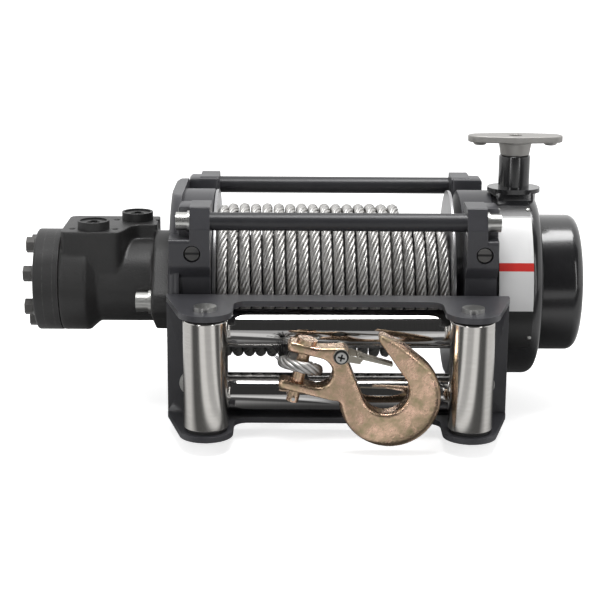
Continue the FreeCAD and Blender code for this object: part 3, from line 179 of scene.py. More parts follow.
def object_place(tree):
    """Object coordinates, which stay with the piece."""
    return tree.nodes.new("ShaderNodeTexCoord").outputs["Object"]


def split_vector(tree, vector):
    """X, Y and Z of a vector."""
    node = tree.nodes.new("ShaderNodeSeparateXYZ")
    tree.links.new(vector, node.inputs["Vector"])
    return [node.outputs[letter] for letter in "XYZ"]


def stretched(tree, vector, scale):
    """Coordinates multiplied by a scale."""
    node = tree.nodes.new("ShaderNodeMapping")
    node.inputs["Scale"].default_value = scale
    tree.links.new(vector, node.inputs["Vector"])
    return node.outputs["Vector"]


def remap(tree, value, low=0.0, high=1.0, to_low=0.0, to_high=1.0, kind="LINEAR"):
    """Map Range node: low gives to_low and high gives to_high."""
    node = new_node(tree, "ShaderNodeMapRange", interpolation_type=kind)
    for name, number in (("From Min", low), ("From Max", high), ("To Min", to_low), ("To Max", to_high)):
        node.inputs[name].default_value = number
    tree.links.new(value, node.inputs["Value"])
    return node.outputs["Result"]


print("place helpers ready")

# %% Blend and band colours


def grey(level):
    """Neutral colour."""
    return (level, level, level)


def colour_ramp(tree, value, stops, kind="LINEAR"):
    """Color Ramp node from pairs of position and colour."""
    ramp = tree.nodes.new("ShaderNodeValToRGB")
    ramp.color_ramp.interpolation = kind
    elements = ramp.color_ramp.elements
    while len(elements) < len(stops):
        elements.new(0.5)
    for element, (position, colour) in zip(elements, stops):
        element.position = position
        element.color = (*colour, 1)
    tree.links.new(value, ramp.inputs["Fac"])
    return ramp.outputs["Color"]


def mix_shaders(tree, factor, first, second):
    """Chooses between two shaders by a factor socket."""
    mix = tree.nodes.new("ShaderNodeMixShader")
    link_nodes(tree, (factor, mix.inputs["Fac"]), (first, mix.inputs[1]), (second, mix.inputs[2]))
    return mix.outputs["Shader"]


def glow(tree, strength):
    """White glow of the given strength."""
    node = tree.nodes.new("ShaderNodeEmission")
    node.inputs["Color"].default_value = (1, 1, 1, 1)
    node.inputs["Strength"].default_value = strength
    return node.outputs["Emission"]


print("colour helpers ready")

# %% [markdown]
# ## Light and floor
# The winch was photographed on white, with the light mostly above and behind it, so its fronts are dark and
# its upward faces pale. For the camera the floor adds a white glow to what falls on it, which leaves only a
# faint shadow. Mirrors are given painted light instead: round a polished roller the floor glows as a ring of
# pale and dark bands, the painted light and shade that black cards beside the object would make, and under
# the winch it glows dark, as a painted shadow. The Light Path node tells the kinds of ray apart, and the
# bands are found from the direction of the place as seen from the winch.

# %% Shade the table
# painted light and shade of the table in mirrors: angle from straight ahead in degrees, and brightness
PAINTED_TABLE_BANDS = [(0, 0.55), (13, 0.55), (19, 0.95), (36, 0.95), (43, 0.1), (66, 0.1), (80, 0.75), (180, 0.75)]
TABLE_CENTRE_Y = -0.15
SHADE_SCALE = (3.6, 6.0, 0.0)
SHADE_STARTS = 1.3
SHADE_FULL = 0.8


def painted_shadow_under_winch(tree):
    """Mask that is 1 on the floor below the winch, where no light gets to, so that mirrors see a painted
    shadow there.
    """
    reach = new_node(tree, "ShaderNodeVectorMath", operation="LENGTH")
    tree.links.new(stretched(tree, object_place(tree), SHADE_SCALE), reach.inputs[0])
    return remap(tree, reach.outputs["Value"], SHADE_STARTS, SHADE_FULL, kind="SMOOTHSTEP")


def painted_table_bands(tree):
    """Painted light and shade of the table in mirrors, by the direction from the winch: dark where cards
    would shade it.
    """
    across, along, _ = split_vector(tree, object_place(tree))
    ahead = maths(tree, "SUBTRACT", TABLE_CENTRE_Y, along)
    angle = maths(tree, "ARCTAN2", maths(tree, "ABSOLUTE", across), ahead)
    share = remap(tree, angle, 0.0, math.pi)
    return colour_ramp(tree, share, [(degrees / 180, grey(level)) for degrees, level in PAINTED_TABLE_BANDS])


print("table bands:", len(PAINTED_TABLE_BANDS))

# %% Lay the floor
FLOOR_SIZE = 12.0
FLOOR_GREY = 0.8
FLOOR_GLOW = 0.72
FLOOR_ROUGHNESS = 0.9
FLOOR_DROP = 0.0002
PAINTED_SHADOW_GLOW = 0.06


def floor_material():
    """Matte white that glows for the camera, and in mirrors glows in painted bands of light and shade, with a
    painted shadow under the winch.
    """
    material = bpy.data.materials.new("floor_white")
    material.use_nodes = True
    tree = material.node_tree
    matte = tree.nodes["Principled BSDF"]
    matte.inputs["Base Color"].default_value = (*grey(FLOOR_GREY), 1)
    matte.inputs["Roughness"].default_value = FLOOR_ROUGHNESS
    path = tree.nodes.new("ShaderNodeLightPath")
    both = tree.nodes.new("ShaderNodeAddShader")
    link_nodes(tree, (matte.outputs["BSDF"], both.inputs[0]), (glow(tree, FLOOR_GLOW), both.inputs[1]))
    seen = mix_shaders(tree, path.outputs["Is Camera Ray"], matte.outputs["BSDF"], both.outputs["Shader"])
    # painted light and shade: in mirrors the floor glows in bands, as a table lit between dark cards
    banded = tree.nodes.new("ShaderNodeEmission")
    tree.links.new(painted_table_bands(tree), banded.inputs["Color"])
    # painted shadow: in mirrors the floor below the winch glows dark instead of being shaded
    shade = mix_shaders(tree, painted_shadow_under_winch(tree), banded.outputs["Emission"], glow(tree, PAINTED_SHADOW_GLOW))
    mirrored = mix_shaders(tree, path.outputs["Is Glossy Ray"], seen, shade)
    tree.links.new(mirrored, tree.nodes["Material Output"].inputs["Surface"])
    return material


half = FLOOR_SIZE / 2
floor_mesh = bpy.data.meshes.new("floor")
floor_mesh.from_pydata([(-half, -half, 0), (half, -half, 0), (half, half, 0), (-half, half, 0)], [],
                       [(0, 1, 2, 3)])
floor_mesh.materials.append(floor_material())
floor = add_object("floor", floor_mesh)
floor.location.z = cad_low[2] - FLOOR_DROP
print("floor laid at", round(floor.location.z, 4))

# %% [markdown]
# The world is a studio drawn with the direction of the ray: bright at the sides and behind the winch,
# and dark in front of it, where the photographer stands. Polished rollers need this, because under an even
# white sky a mirror has nothing to show but grey. The camera itself sees plain white.

# %% Build the studio world
DARK_FRONT = 0.05
BRIGHT = 1.0
SIDES_START, SIDES_FULL = 0.74, 0.82
BACK_STARTS, BACK_FULL = -0.12, 0.06


def make_world():
    """Studio light that depends on direction, and plain white for the camera."""
    world = bpy.data.worlds.new("studio")
    bpy.context.scene.world = world
    world.use_nodes = True
    tree = world.node_tree
    across, along, _ = split_vector(tree, tree.nodes.new("ShaderNodeTexCoord").outputs["Generated"])
    beside = remap(tree, maths(tree, "ABSOLUTE", across), SIDES_START, SIDES_FULL, kind="SMOOTHSTEP")
    behind = remap(tree, along, BACK_STARTS, BACK_FULL, kind="SMOOTHSTEP")
    level = remap(tree, maths(tree, "MAXIMUM", beside, behind), 0.0, 1.0, DARK_FRONT, BRIGHT)
    studio = tree.nodes["Background"]
    studio.inputs["Color"].default_value = (1, 1, 1, 1)
    white = tree.nodes.new("ShaderNodeBackground")
    white.inputs["Color"].default_value = (1, 1, 1, 1)
    white.inputs["Strength"].default_value = 1.0
    path = tree.nodes.new("ShaderNodeLightPath")
    shown = mix_shaders(tree, path.outputs["Is Camera Ray"], studio.outputs["Background"],
                        white.outputs["Background"])
    link_nodes(tree, (level, studio.inputs["Strength"]),
               (shown, tree.nodes["World Output"].inputs["Surface"]))


make_world()
print("studio light from", DARK_FRONT, "to", BRIGHT)

# %% [markdown]
# Three softboxes give the crisp highlights: a large one above, and a narrow one at each side that draws the
# bright upright lines on the rollers.

# %% Place the softboxes
SOFTBOXES = {
    "top_box": ((0.15, -0.12, 1.5), (1.3, 0.4), 17.0),
    "left_box": ((-0.75, -1.35, 0.7), (0.16, 1.3), 3.6),
    "right_box": ((0.9, -1.3, 0.7), (0.16, 1.3), 3.2),
}
for name, (place, size, watts) in SOFTBOXES.items():
    light = bpy.data.lights.new(name, "AREA")
    light.shape = "RECTANGLE"
    light.size, light.size_y = size
    light.energy = watts
    lamp = add_object(name, light)
    lamp.location = place
    lamp.rotation_euler = (Vector((0, 0, drum_axis.z)) - Vector(place)).to_track_quat("-Z", "Y").to_euler()
print("lit with", len(SOFTBOXES), "lamps")

# %% [markdown]
# ## Shared surface effects
# Paint, castings and bare steel all show three things close up: fine grain, slow variation of tone, and
# edges that are rubbed brighter. Each effect is one node group with named inputs, used by every material
# with its own values.

# %% Start a node group


def new_group(name, inputs, outputs):
    """Empty shader group with named sockets; inputs maps a name to its type and default."""
    group = bpy.data.node_groups.new(name, "ShaderNodeTree")
    for socket_name, (kind, default) in inputs.items():
        socket = group.interface.new_socket(socket_name, in_out="INPUT", socket_type=kind)
        if default is not None:
            socket.default_value = default
    for socket_name, kind in outputs.items():
        group.interface.new_socket(socket_name, in_out="OUTPUT", socket_type=kind)
    return group, group.nodes.new("NodeGroupInput"), group.nodes.new("NodeGroupOutput")


def noise(tree, vector, scale, detail=3.0, roughness=0.5):
    """Noise texture on the given coordinates; scale is a number or a socket."""
    node = tree.nodes.new("ShaderNodeTexNoise")
    node.inputs["Detail"].default_value = detail
    node.inputs["Roughness"].default_value = roughness
    tree.links.new(vector, node.inputs["Vector"])
    feed(tree, scale, node.inputs["Scale"])
    return node.outputs["Fac"]


print("group helper ready")

# %% [markdown]
# The Bevel node gives the normal that a rounded edge would have. Where it leans away from the true normal
# there is an edge, and noise breaks the worn line up, as rubbing does.

# %% Build the edge wear
WEAR_NOISE_SCALE = 220.0
EDGE_LEAN = (0.995, 0.8)
BREAKUP = (0.35, 0.62)


def build_edge_wear():
    """Mask that is 1 on edges and broken up by noise."""
    group, entry, leave = new_group(
        "edge_wear",
        {"Vector": ("NodeSocketVector", None), "Amount": ("NodeSocketFloat", 0.5),
         "Radius": ("NodeSocketFloat", 0.0012)},
        {"Mask": "NodeSocketFloat"})
    bevel = new_node(group, "ShaderNodeBevel", samples=4)
    group.links.new(entry.outputs["Radius"], bevel.inputs["Radius"])
    true_normal = group.nodes.new("ShaderNodeNewGeometry").outputs["Normal"]
    agreement = vector_maths(group, "DOT_PRODUCT", bevel.outputs["Normal"], true_normal)
    edge = remap(group, agreement, *EDGE_LEAN)
    breakup = remap(group, noise(group, entry.outputs["Vector"], WEAR_NOISE_SCALE, 4.0, 0.6), *BREAKUP)
    worn = maths(group, "MULTIPLY", maths(group, "MULTIPLY", edge, breakup), entry.outputs["Amount"])
    group.links.new(worn, leave.inputs["Mask"])
    return group


edge_wear = build_edge_wear()
print("node group:", edge_wear.name)

# %% Build the surface grain


def build_surface_grain():
    """Fine height for a Bump node and a slow tone variation."""
    group, entry, leave = new_group(
        "surface_grain",
        {"Vector": ("NodeSocketVector", None), "Grain Scale": ("NodeSocketFloat", 900.0),
         "Patch Scale": ("NodeSocketFloat", 22.0)},
        {"Height": "NodeSocketFloat", "Patches": "NodeSocketFloat"})
    fine = noise(group, entry.outputs["Vector"], entry.outputs["Grain Scale"], 2.0, 0.6)
    slow = noise(group, entry.outputs["Vector"], entry.outputs["Patch Scale"], 5.0, 0.62)
    link_nodes(group, (fine, leave.inputs["Height"]), (remap(group, slow, 0.3, 0.7), leave.inputs["Patches"]))
    return group


surface_grain = build_surface_grain()
print("node group:", surface_grain.name)

# %% [markdown]
# ## A finish from a few values
# Most pieces are painted, cast or plated, and differ in colour, gloss, grain and wear. One function
# builds such a finish, and each material below is a call with its own values.

# %% Helpers for finishes


def new_material(name, metallic=0.0):
    """Material with its Principled shader and an object-space coordinate."""
    material = bpy.data.materials.new(name)
    material.use_nodes = True
    tree = material.node_tree
    shader = tree.nodes["Principled BSDF"]
    shader.inputs["Metallic"].default_value = metallic
    return material, tree, shader, object_place(tree)


def group_node(tree, group, vector, **values):
    """Places a node group, joins its Vector and sets its named values."""
    node = new_node(tree, "ShaderNodeGroup", node_tree=group)
    tree.links.new(vector, node.inputs["Vector"])
    for name, value in values.items():
        node.inputs[name.replace("_", " ")].default_value = value
    return node


def mix_colour(tree, factor, first, second):
    """Blends two colours, each a socket or an RGB triple, by a factor socket."""
    mix = new_node(tree, "ShaderNodeMix", data_type="RGBA")
    tree.links.new(factor, mix.inputs["Factor"])
    for name, colour in (("A", first), ("B", second)):
        socket = next(s for s in mix.inputs if s.name == name and s.type == "RGBA")
        if isinstance(colour, (tuple, list)):
            socket.default_value = (*colour, 1)
        else:
            tree.links.new(colour, socket)
    return next(s for s in mix.outputs if s.type == "RGBA")


def add_bump(tree, shader, height, strength, distance):
    """Bump on the shader's normal."""
    bump = tree.nodes.new("ShaderNodeBump")
    bump.inputs["Strength"].default_value = strength
    bump.inputs["Distance"].default_value = distance
    link_nodes(tree, (height, bump.inputs["Height"]), (bump.outputs["Normal"], shader.inputs["Normal"]))


print("finish helpers ready")

# %% Finish builder
COAT_ROUGHNESS = 0.12
GRAIN_HEIGHT = 0.0004


def finish(name, colour, colour_two, rough, rough_two, worn, worn_amount=0.5, metallic=0.0, coat=0.0,
           grain=900.0, grain_depth=0.1, patch=22.0, edge=0.0012):
    """Painted, cast or plated surface with patches, grain and rubbed edges."""
    material, tree, shader, vector = new_material(name, metallic)
    skin = group_node(tree, surface_grain, vector, Grain_Scale=grain, Patch_Scale=patch)
    wear = group_node(tree, edge_wear, vector, Amount=worn_amount, Radius=edge)
    patches = skin.outputs["Patches"]
    full = mix_colour(tree, wear.outputs["Mask"], mix_colour(tree, patches, colour, colour_two), worn)
    link_nodes(tree, (full, shader.inputs["Base Color"]),
               (remap(tree, patches, 0.0, 1.0, rough, rough_two), shader.inputs["Roughness"]))
    shader.inputs["Coat Weight"].default_value = coat
    shader.inputs["Coat Roughness"].default_value = COAT_ROUGHNESS
    add_bump(tree, shader, skin.outputs["Height"], grain_depth, GRAIN_HEIGHT)
    return material


print("finishes have a grain of", GRAIN_HEIGHT, "m")

# %% [markdown]
# The supports and the fairlead have a fine powder coat, the motor a rougher paint on cast iron, and the
# gearbox a smooth one with a clear coat.

# %% Mix the paints
dark_paint = finish("dark_paint", (0.040, 0.040, 0.045), (0.050, 0.050, 0.056), 0.3, 0.38,
                    (0.16, 0.16, 0.17), grain=1100.0, grain_depth=0.12)
motor_paint = finish("motor_paint", (0.020, 0.0196, 0.0196), (0.030, 0.0295, 0.0295), 0.36, 0.48,
                     (0.12, 0.115, 0.11), grain=700.0, grain_depth=0.4)
gloss_black = finish("gloss_black", (0.010, 0.010, 0.011), (0.014, 0.014, 0.015), 0.2, 0.26,
                     grey(0.08), worn_amount=0.25, coat=0.6, grain_depth=0.03)
tie_bar_paint = finish("tie_bar_steel", (0.022, 0.022, 0.025), (0.03, 0.03, 0.034), 0.3, 0.38,
                       grey(0.16), grain_depth=0.06)
port_plug = finish("port_plug", grey(0.02), grey(0.028), 0.42, 0.5, grey(0.06), grain_depth=0.05)
# black of the frayed wires and the latch's ring, and painted shade for the screw slots and the cross recess
black_and_recess_shade = finish("black_and_recess_shade", grey(0.006), grey(0.01), 0.6, 0.7, grey(0.02))
washer_plastic = finish("washer_plastic", grey(0.03), grey(0.04), 0.5, 0.6, grey(0.08), grain_depth=0.05)
print("paints made:", len(bpy.data.materials))

# %% [markdown]
# Screws are bright zinc or dark steel. The hook is a forging with yellow zinc, whose tone runs from pink to
# olive in small patches, and the handle of the clutch is a dull light alloy.

# %% Plate the metals
zinc_bolt = finish("zinc_bolt", (0.62, 0.62, 0.6), (0.52, 0.52, 0.5), 0.25, 0.38, (0.75, 0.75, 0.73),
                   metallic=1.0, grain_depth=0.05)
motor_bolt = finish("motor_bolt", (0.16, 0.155, 0.15), (0.1, 0.1, 0.098), 0.42, 0.55, (0.4, 0.4, 0.39),
                    metallic=0.8, grain_depth=0.1)
drum_steel = finish("drum_steel", (0.42, 0.42, 0.43), grey(0.5), 0.25, 0.4, grey(0.6),
                    metallic=0.9, grain_depth=0.08)
gold_zinc = finish("gold_zinc", (0.84, 0.55, 0.42), (0.42, 0.35, 0.21), 0.2, 0.36, (0.98, 0.76, 0.62),
                   metallic=1.0, grain=420.0, grain_depth=0.8, patch=110.0)
latch_steel = finish("latch_steel", (0.42, 0.39, 0.33), (0.3, 0.28, 0.23), 0.3, 0.42, (0.7, 0.68, 0.62),
                     metallic=1.0, grain_depth=0.2)
handle_alloy = finish("handle_alloy", (0.34, 0.33, 0.315), (0.4, 0.39, 0.375), 0.42, 0.5, grey(0.7),
                      metallic=0.7, grain_depth=0.15)
ferrule_alloy = finish("ferrule_alloy", grey(0.45), grey(0.38), 0.35, 0.5, grey(0.6),
                       metallic=1.0, grain_depth=0.2)
print("finishes made:", len(bpy.data.materials))

# %% [markdown]
# ## Turned steel rollers
# Rollers are turned on a lathe, which leaves fine rings round them. The rings are noise that is stretched
# round the roller: it changes fast along the roller's length and hardly at all across it.

# %% Roller finish
RING_SCALE = 2600.0
ACROSS_RING = 0.02
RING_HEIGHT = 0.0002
GROOVE_SHADE = 0.85


def turned_steel(name, axis, colour, rough, rough_two, depth):
    """Bright steel with fine lathe rings across the given axis."""
    material, tree, shader, vector = new_material(name, 1.0)
    along = stretched(tree, vector, [1.0 if letter == axis else ACROSS_RING for letter in "XYZ"])
    rings = noise(tree, along, RING_SCALE, 3.0, 0.7)
    slow = noise(tree, vector, 30.0, 4.0)
    tone = mix_colour(tree, remap(tree, rings, 0.3, 0.7), tuple(GROOVE_SHADE * c for c in colour), colour)
    link_nodes(tree, (tone, shader.inputs["Base Color"]),
               (remap(tree, slow, 0.0, 1.0, rough, rough_two), shader.inputs["Roughness"]))
    add_bump(tree, shader, rings, depth, RING_HEIGHT)
    return material


roller_brushed = turned_steel("roller_brushed", "Z", (0.68, 0.66, 0.63), 0.13, 0.2, 0.02)
roller_polished = turned_steel("roller_polished", "X", (0.62, 0.61, 0.6), 0.05, 0.1, 0.01)
print("roller finishes:", roller_brushed.name, roller_polished.name)

# %% [markdown]
# ## Plate
# The plate on the gearbox is a thin sheet rolled round the housing, with plain bands of colour that run
# along it. The band is found from the direction round the drum axis, so that the edges of the bands stay
# straight on the curved sheet.

# %% Plate bands
PLATE_LOW = -30.0
PLATE_HIGH = 68.0
PLATE_ROUGHNESS = 0.3
BANDS = [(PLATE_LOW, grey(0.012)), (-4.5, grey(0.62)), (19.3, (0.56, 0.03, 0.025)),
         (24.1, grey(0.8)), (54.5, grey(0.3)), (55.8, (0.014, 0.014, 0.015))]


def make_label_print():
    """Colour bands by the angle round the drum axis."""
    material, tree, shader, vector = new_material("label_print")
    _, y, z = split_vector(tree, vector)
    height = maths(tree, "SUBTRACT", z, drum_axis.z)
    angle = maths(tree, "ARCTAN2", height, maths(tree, "MULTIPLY", y, -1.0))
    share = remap(tree, angle, math.radians(PLATE_LOW), math.radians(PLATE_HIGH))
    stops = [((low - PLATE_LOW) / (PLATE_HIGH - PLATE_LOW), colour) for low, colour in BANDS]
    tree.links.new(colour_ramp(tree, share, stops, "CONSTANT"), shader.inputs["Base Color"])
    shader.inputs["Roughness"].default_value = PLATE_ROUGHNESS
    return material


label_print = make_label_print()
print("plate bands:", len(BANDS))

# %% [markdown]
# ## Finishes of the solids
# Each solid takes one finish for its whole surface, so a list of finishes with their solids is enough.

# %% Give the solids their finishes
DRESSED = [
    (dark_paint, ["motor_support", "gear_support", "fairlead_frame", "fairlead_side_plates", "drum_barrel"]),
    (motor_paint, ["motor_body", "motor_spacer_plate", "motor_gerotor_ring", "motor_end_cover"]),
    (gloss_black, ["ring_gear_housing", "gear_end_cover", "clutch_post"]),
    (zinc_bolt, ["tie_bar_screws", "motor_flange_bolts", "fairlead_bolts", "cross_roller_pins",
                 "upright_roller_pins", "latch_screw", "cotter_pin"]),
    (motor_bolt, ["mounting_nuts", "motor_cover_bolts"]),
    (port_plug, ["motor_port_plug_front", "motor_port_plug_rear"]),
    (tie_bar_paint, ["front_tie_bar", "rear_tie_bar"]),
    (drum_steel, ["drum_flange_left", "drum_flange_right"]),
    (gold_zinc, ["hook", "hook_latch", "clevis_pin"]),
    (handle_alloy, ["shift_handle"]),
    (washer_plastic, ["roller_washers"]),
    (ferrule_alloy, ["rope_ferrule"]),
    (roller_brushed, ["vertical_roller_left", "vertical_roller_right"]),
    (roller_polished, ["upper_roller", "lower_roller"]),
    (label_print, ["label_plate"]),
]


def dress(mesh, material):
    """Gives a mesh one material."""
    mesh.materials.clear()
    mesh.materials.append(material)


for material, names in DRESSED:
    for name in names:
        dress(nodes[name].data, material)
print("solids dressed:", sum(len(names) for _, names in DRESSED))

# %% [markdown]
# ## Forged and cast pieces
# A forging or a sand casting has no sharp corner: every edge flows into the next face. The solid of the hook
# has the right outline with plain edges, so a copy of it is rebuilt as an even mesh by the Remesh modifier,
# and the Smooth modifier then draws its edges round. The copy's triangles are merged first, because the
# solids come as loose triangles.

# %% Copy a solid and settle the copy in its place
MERGE_DISTANCE = 1e-6


def merged_copy(node, name):
    """Copy of a CAD node whose triangles share their corners."""
    mesh = nodes[node].data.copy()
    shape = bmesh.new()
    shape.from_mesh(mesh)
    bmesh.ops.remove_doubles(shape, verts=shape.verts, dist=MERGE_DISTANCE)
    shape.to_mesh(mesh)
    shape.free()
    return add_object(name, mesh)


def plain_mesh(source):
    """Mesh that an object has after its modifiers."""
    bpy.context.view_layer.update()
    return bpy.data.meshes.new_from_object(source.evaluated_get(bpy.context.evaluated_depsgraph_get()))


def tie(piece, body, node=None):
    """Ties a piece to its body, and lets it stand for a node."""
    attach(piece, body)
    if node:
        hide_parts(node)


def settle(piece, node, body):
    """Applies the modifiers of a changed copy and puts it in the node's place, with its finish."""
    mesh = plain_mesh(piece)
    piece.modifiers.clear()
    piece.data = mesh
    dress(mesh, nodes[node].data.materials[0])
    tie(piece, body, node)
    print(piece.name, len(mesh.polygons), "faces")


# %% Soften the forging and the castings
HANDLE_LIFT = 4.4 * MM


def softened(node, name, grid, rounds, body):
    """Even, smoothed copy of a CAD node that replaces it."""
    piece = merged_copy(node, name)
    remesh = piece.modifiers.new("even", "REMESH")
    remesh.mode = "VOXEL"
    remesh.voxel_size = grid
    smooth = piece.modifiers.new("round", "SMOOTH")
    smooth.factor = 0.5
    smooth.iterations = rounds
    settle(piece, node, body)
    piece.data.shade_smooth()
    return piece


softened("hook", "forged_hook", 0.0009, 30, "hook_assembly")
cast_handle = softened("shift_handle", "cast_handle", 0.0006, 9, "clutch_handle")
for vertex in cast_handle.data.vertices:
    vertex.co.z += HANDLE_LIFT
softened("motor_body", "cast_motor", 0.0011, 7, "root")

# %% [markdown]
# ## Turned and sawn pieces
# Discs, posts and screw heads are turned parts, so one helper spins a profile round any axis. Blocks are
# boxes with bevelled edges. Both are made in place, so the object itself stays at the origin.

# %% Finish a mesh as a piece
SHARP_ANGLE = math.radians(35)
SAME_PLACE = 1e-7


def mesh_from(shape, name):
    """Mesh of a finished bmesh, with its faces turned outward."""
    bmesh.ops.recalc_face_normals(shape, faces=shape.faces)
    mesh = bpy.data.meshes.new(name)
    shape.to_mesh(mesh)
    shape.free()
    return mesh


def piece_from(shape, name, material, body, smooth=True, node=None):
    """Object from a bmesh, dressed and tied to its body."""
    bmesh.ops.remove_doubles(shape, verts=shape.verts, dist=SAME_PLACE)
    mesh = mesh_from(shape, name)
    mesh.materials.append(material)
    if smooth:
        mesh.shade_smooth()
        mesh.set_sharp_from_angle(angle=SHARP_ANGLE)
    tie(add_object(name, mesh), body, node)


print("edges stay sharp from", round(SHARP_ANGLE, 3), "radians")

# %% Spin a profile


def spin_profile(shape, profile, origin, axis, sides=48):
    """Adds a solid turned about an axis, from (along, radius) in millimetres that start and end on it."""
    axis = Vector(axis).normalized()
    across = axis.orthogonal().normalized()
    other = axis.cross(across)
    turns = [2 * math.pi * step / sides for step in range(sides)]
    ways = [across * math.cos(turn) + other * math.sin(turn) for turn in turns]
    rings = []
    for along, radius in profile:
        base = origin + axis * (along * MM)
        rings.append([shape.verts.new(base + way * (radius * MM)) for way in (ways if radius else ways[:1])])
    for first, second in zip(rings, rings[1:]):
        for step in range(sides):
            after = (step + 1) % sides
            corners = dict.fromkeys([first[step % len(first)], first[after % len(first)],
                                     second[after % len(second)], second[step % len(second)]])
            if len(corners) > 2:
                shape.faces.new(list(corners))


def rounded_rim(start, end, radius, rim, steps=5):
    """Profile of a disc whose far rim is rounded, in millimetres."""
    points = [(start, 0), (start, radius)]
    side = 1 if end > start else -1
    for step in range(steps + 1):
        turn = math.pi / 2 * step / steps
        points.append((end - side * rim * (1 - math.sin(turn)), radius - rim * (1 - math.cos(turn))))
    return points + [(end, 0)]


print("turning helpers ready")

# %% Add a box and a prism


def add_box(shape, low, high, bevel=0.0):
    """Adds a box between two corners, with its edges bevelled by millimetres."""
    made = bmesh.ops.create_cube(shape, size=1.0)["verts"]
    middle = (low + high) / 2
    size = high - low
    for vertex in made:
        vertex.co = middle + Vector([part * abs(length) for part, length in zip(vertex.co, size)])
    if bevel:
        edges = list({edge for vertex in made for edge in vertex.link_edges})
        bmesh.ops.bevel(shape, geom=edges, offset=bevel * MM, segments=2, profile=0.5, affect="EDGES")


def add_prism(shape, first, second):
    """Adds a solid between two outlines that have as many corners."""
    rings = [[shape.verts.new(corner) for corner in outline] for outline in (first, second)]
    shape.faces.new(rings[0])
    shape.faces.new(rings[1][::-1])
    for index in range(len(first)):
        after = (index + 1) % len(first)
        shape.faces.new([rings[0][index], rings[1][index], rings[1][after], rings[0][after]])


print("box and prism helpers ready")

# %% [markdown]
# ## Broad shoulders of the supports
# On the real castings the arms of the tie bars are as wide as the casting, apart from a notch for each
# screw, and the motor side ends in a broad round rim with a flat top.

# %% Shape the shoulders and the rim
CASTING_INNER = 112.0
SHOULDERS = {"motor_support": -139.7, "gear_support": 140.5}
SHOULDER_FRONT, SHOULDER_BACK = 84.0, 56.0
SHOULDER_FLOOR, SHOULDER_TOP = 45.0, 85.7
SHOULDER_BEVEL = 2.5
RIM_RADIUS = 100.0
RIM_START, RIM_END = -139.0, -148.9
RIM_ROUND = 8.0
RIM_TOP = 88.0
for node, outer_x in SHOULDERS.items():
    shape = bmesh.new()
    inner_x = math.copysign(CASTING_INNER, outer_x)
    for side in (-1, 1):
        add_box(shape, at(inner_x, side * SHOULDER_BACK, SHOULDER_FLOOR),
                at(outer_x, side * SHOULDER_FRONT, SHOULDER_TOP), SHOULDER_BEVEL)
    piece_from(shape, node + "_shoulders", dark_paint, "root")
shape = bmesh.new()
spin_profile(shape, rounded_rim(RIM_START, RIM_END, RIM_RADIUS, RIM_ROUND), at(0, 0, 0), (1, 0, 0), 96)
for vertex in shape.verts:
    vertex.co.z = min(vertex.co.z, at(0, 0, RIM_TOP).z)
piece_from(shape, "motor_rim", dark_paint, "root")
print("rim and shoulders stand from", SHOULDERS)

# %% [markdown]
# ## Fairlead lips
# Between the ears of the upright rollers, the upper and the lower lip of the fairlead stand back, with a
# round corner at each end, so that light gets to the horizontal rollers. The Boolean modifier takes a block
# with two round corners out of a merged copy of the solid.

# %% Cut the lips back
LIP_FRONT = -0.1244
LIP_HALF = 0.0895
LIP_CORNER = 0.012
CUTTER_FRONT = -0.16
CUTTER_TOP = 0.2
CORNER_STEPS = 8


def lip_cutter():
    """Block with two rounded corners that takes the middle of both lips away."""
    outline = [(-LIP_HALF, CUTTER_FRONT), (LIP_HALF, CUTTER_FRONT)]
    for side, start in ((1, 0), (-1, 90)):
        for step in range(CORNER_STEPS + 1):
            turn = math.radians(start + 90 * step / CORNER_STEPS)
            outline.append((side * (LIP_HALF - LIP_CORNER) + LIP_CORNER * math.cos(turn),
                            LIP_FRONT - LIP_CORNER + LIP_CORNER * math.sin(turn)))
    shape = bmesh.new()
    add_prism(shape, *([(x, y, z) for x, y in outline] for z in (0.0, CUTTER_TOP)))
    return add_object("lip_cutter", mesh_from(shape, "lip_cutter"))


cutter = lip_cutter()
lips = merged_copy("fairlead_frame", "fairlead_bent_sheet")
cut = lips.modifiers.new("cut", "BOOLEAN")
cut.operation = "DIFFERENCE"
cut.solver = "EXACT"
cut.object = cutter
settle(lips, "fairlead_frame", "root")
bpy.data.objects.remove(cutter)
lips.data.set_sharp_from_angle(angle=SHARP_ANGLE)

# %% [markdown]
# ## Drum flanges
# The flanges are thin bright discs. The one at the motor nearly touches its support, and the rope fills the
# whole width between them.

# %% Turn the flanges
FLANGES = {"drum_flange_left": (-108.3, -111.1), "drum_flange_right": (102.5, 105.3)}
FLANGE_RADIUS = 84.5
for node, (face, back) in FLANGES.items():
    shape = bmesh.new()
    spin_profile(shape, rounded_rim(face, back, FLANGE_RADIUS, 1.0), at(0, 0, 0), (1, 0, 0), 96)
    piece_from(shape, node + "_disc", drum_steel, "drum", node=node)
print("flanges at", FLANGES)

# %% [markdown]
# ## Clutch post
# The post is a glossy turned cylinder on a block with rounded edges. It stands a little taller than its
# solid, and the handle sits on top of it.

# %% Turn the post
CLUTCH_X, CLUTCH_Y = 162.0, -6.0
POST_FOOT = 90.5
POST_HEIGHT = 30.0
POST_RADIUS = 14.1
FOOT_HALF_X, FOOT_HALF_Y = 17.0, 19.0
FOOT_LOW, FOOT_TOP = 70.0, 89.5
post_foot = at(CLUTCH_X, CLUTCH_Y, POST_FOOT)
shape = bmesh.new()
spin_profile(shape, rounded_rim(0, POST_HEIGHT, POST_RADIUS, 1.5), post_foot, (0, 0, 1))
piece_from(shape, "clutch_post_skin", gloss_black, "root")
shape = bmesh.new()
add_box(shape, at(CLUTCH_X - FOOT_HALF_X, CLUTCH_Y - FOOT_HALF_Y, FOOT_LOW),
        at(CLUTCH_X + FOOT_HALF_X, CLUTCH_Y + FOOT_HALF_Y, FOOT_TOP), 4.0)
piece_from(shape, "clutch_foot", gloss_black, "root")
print("post", POST_HEIGHT, "mm tall")
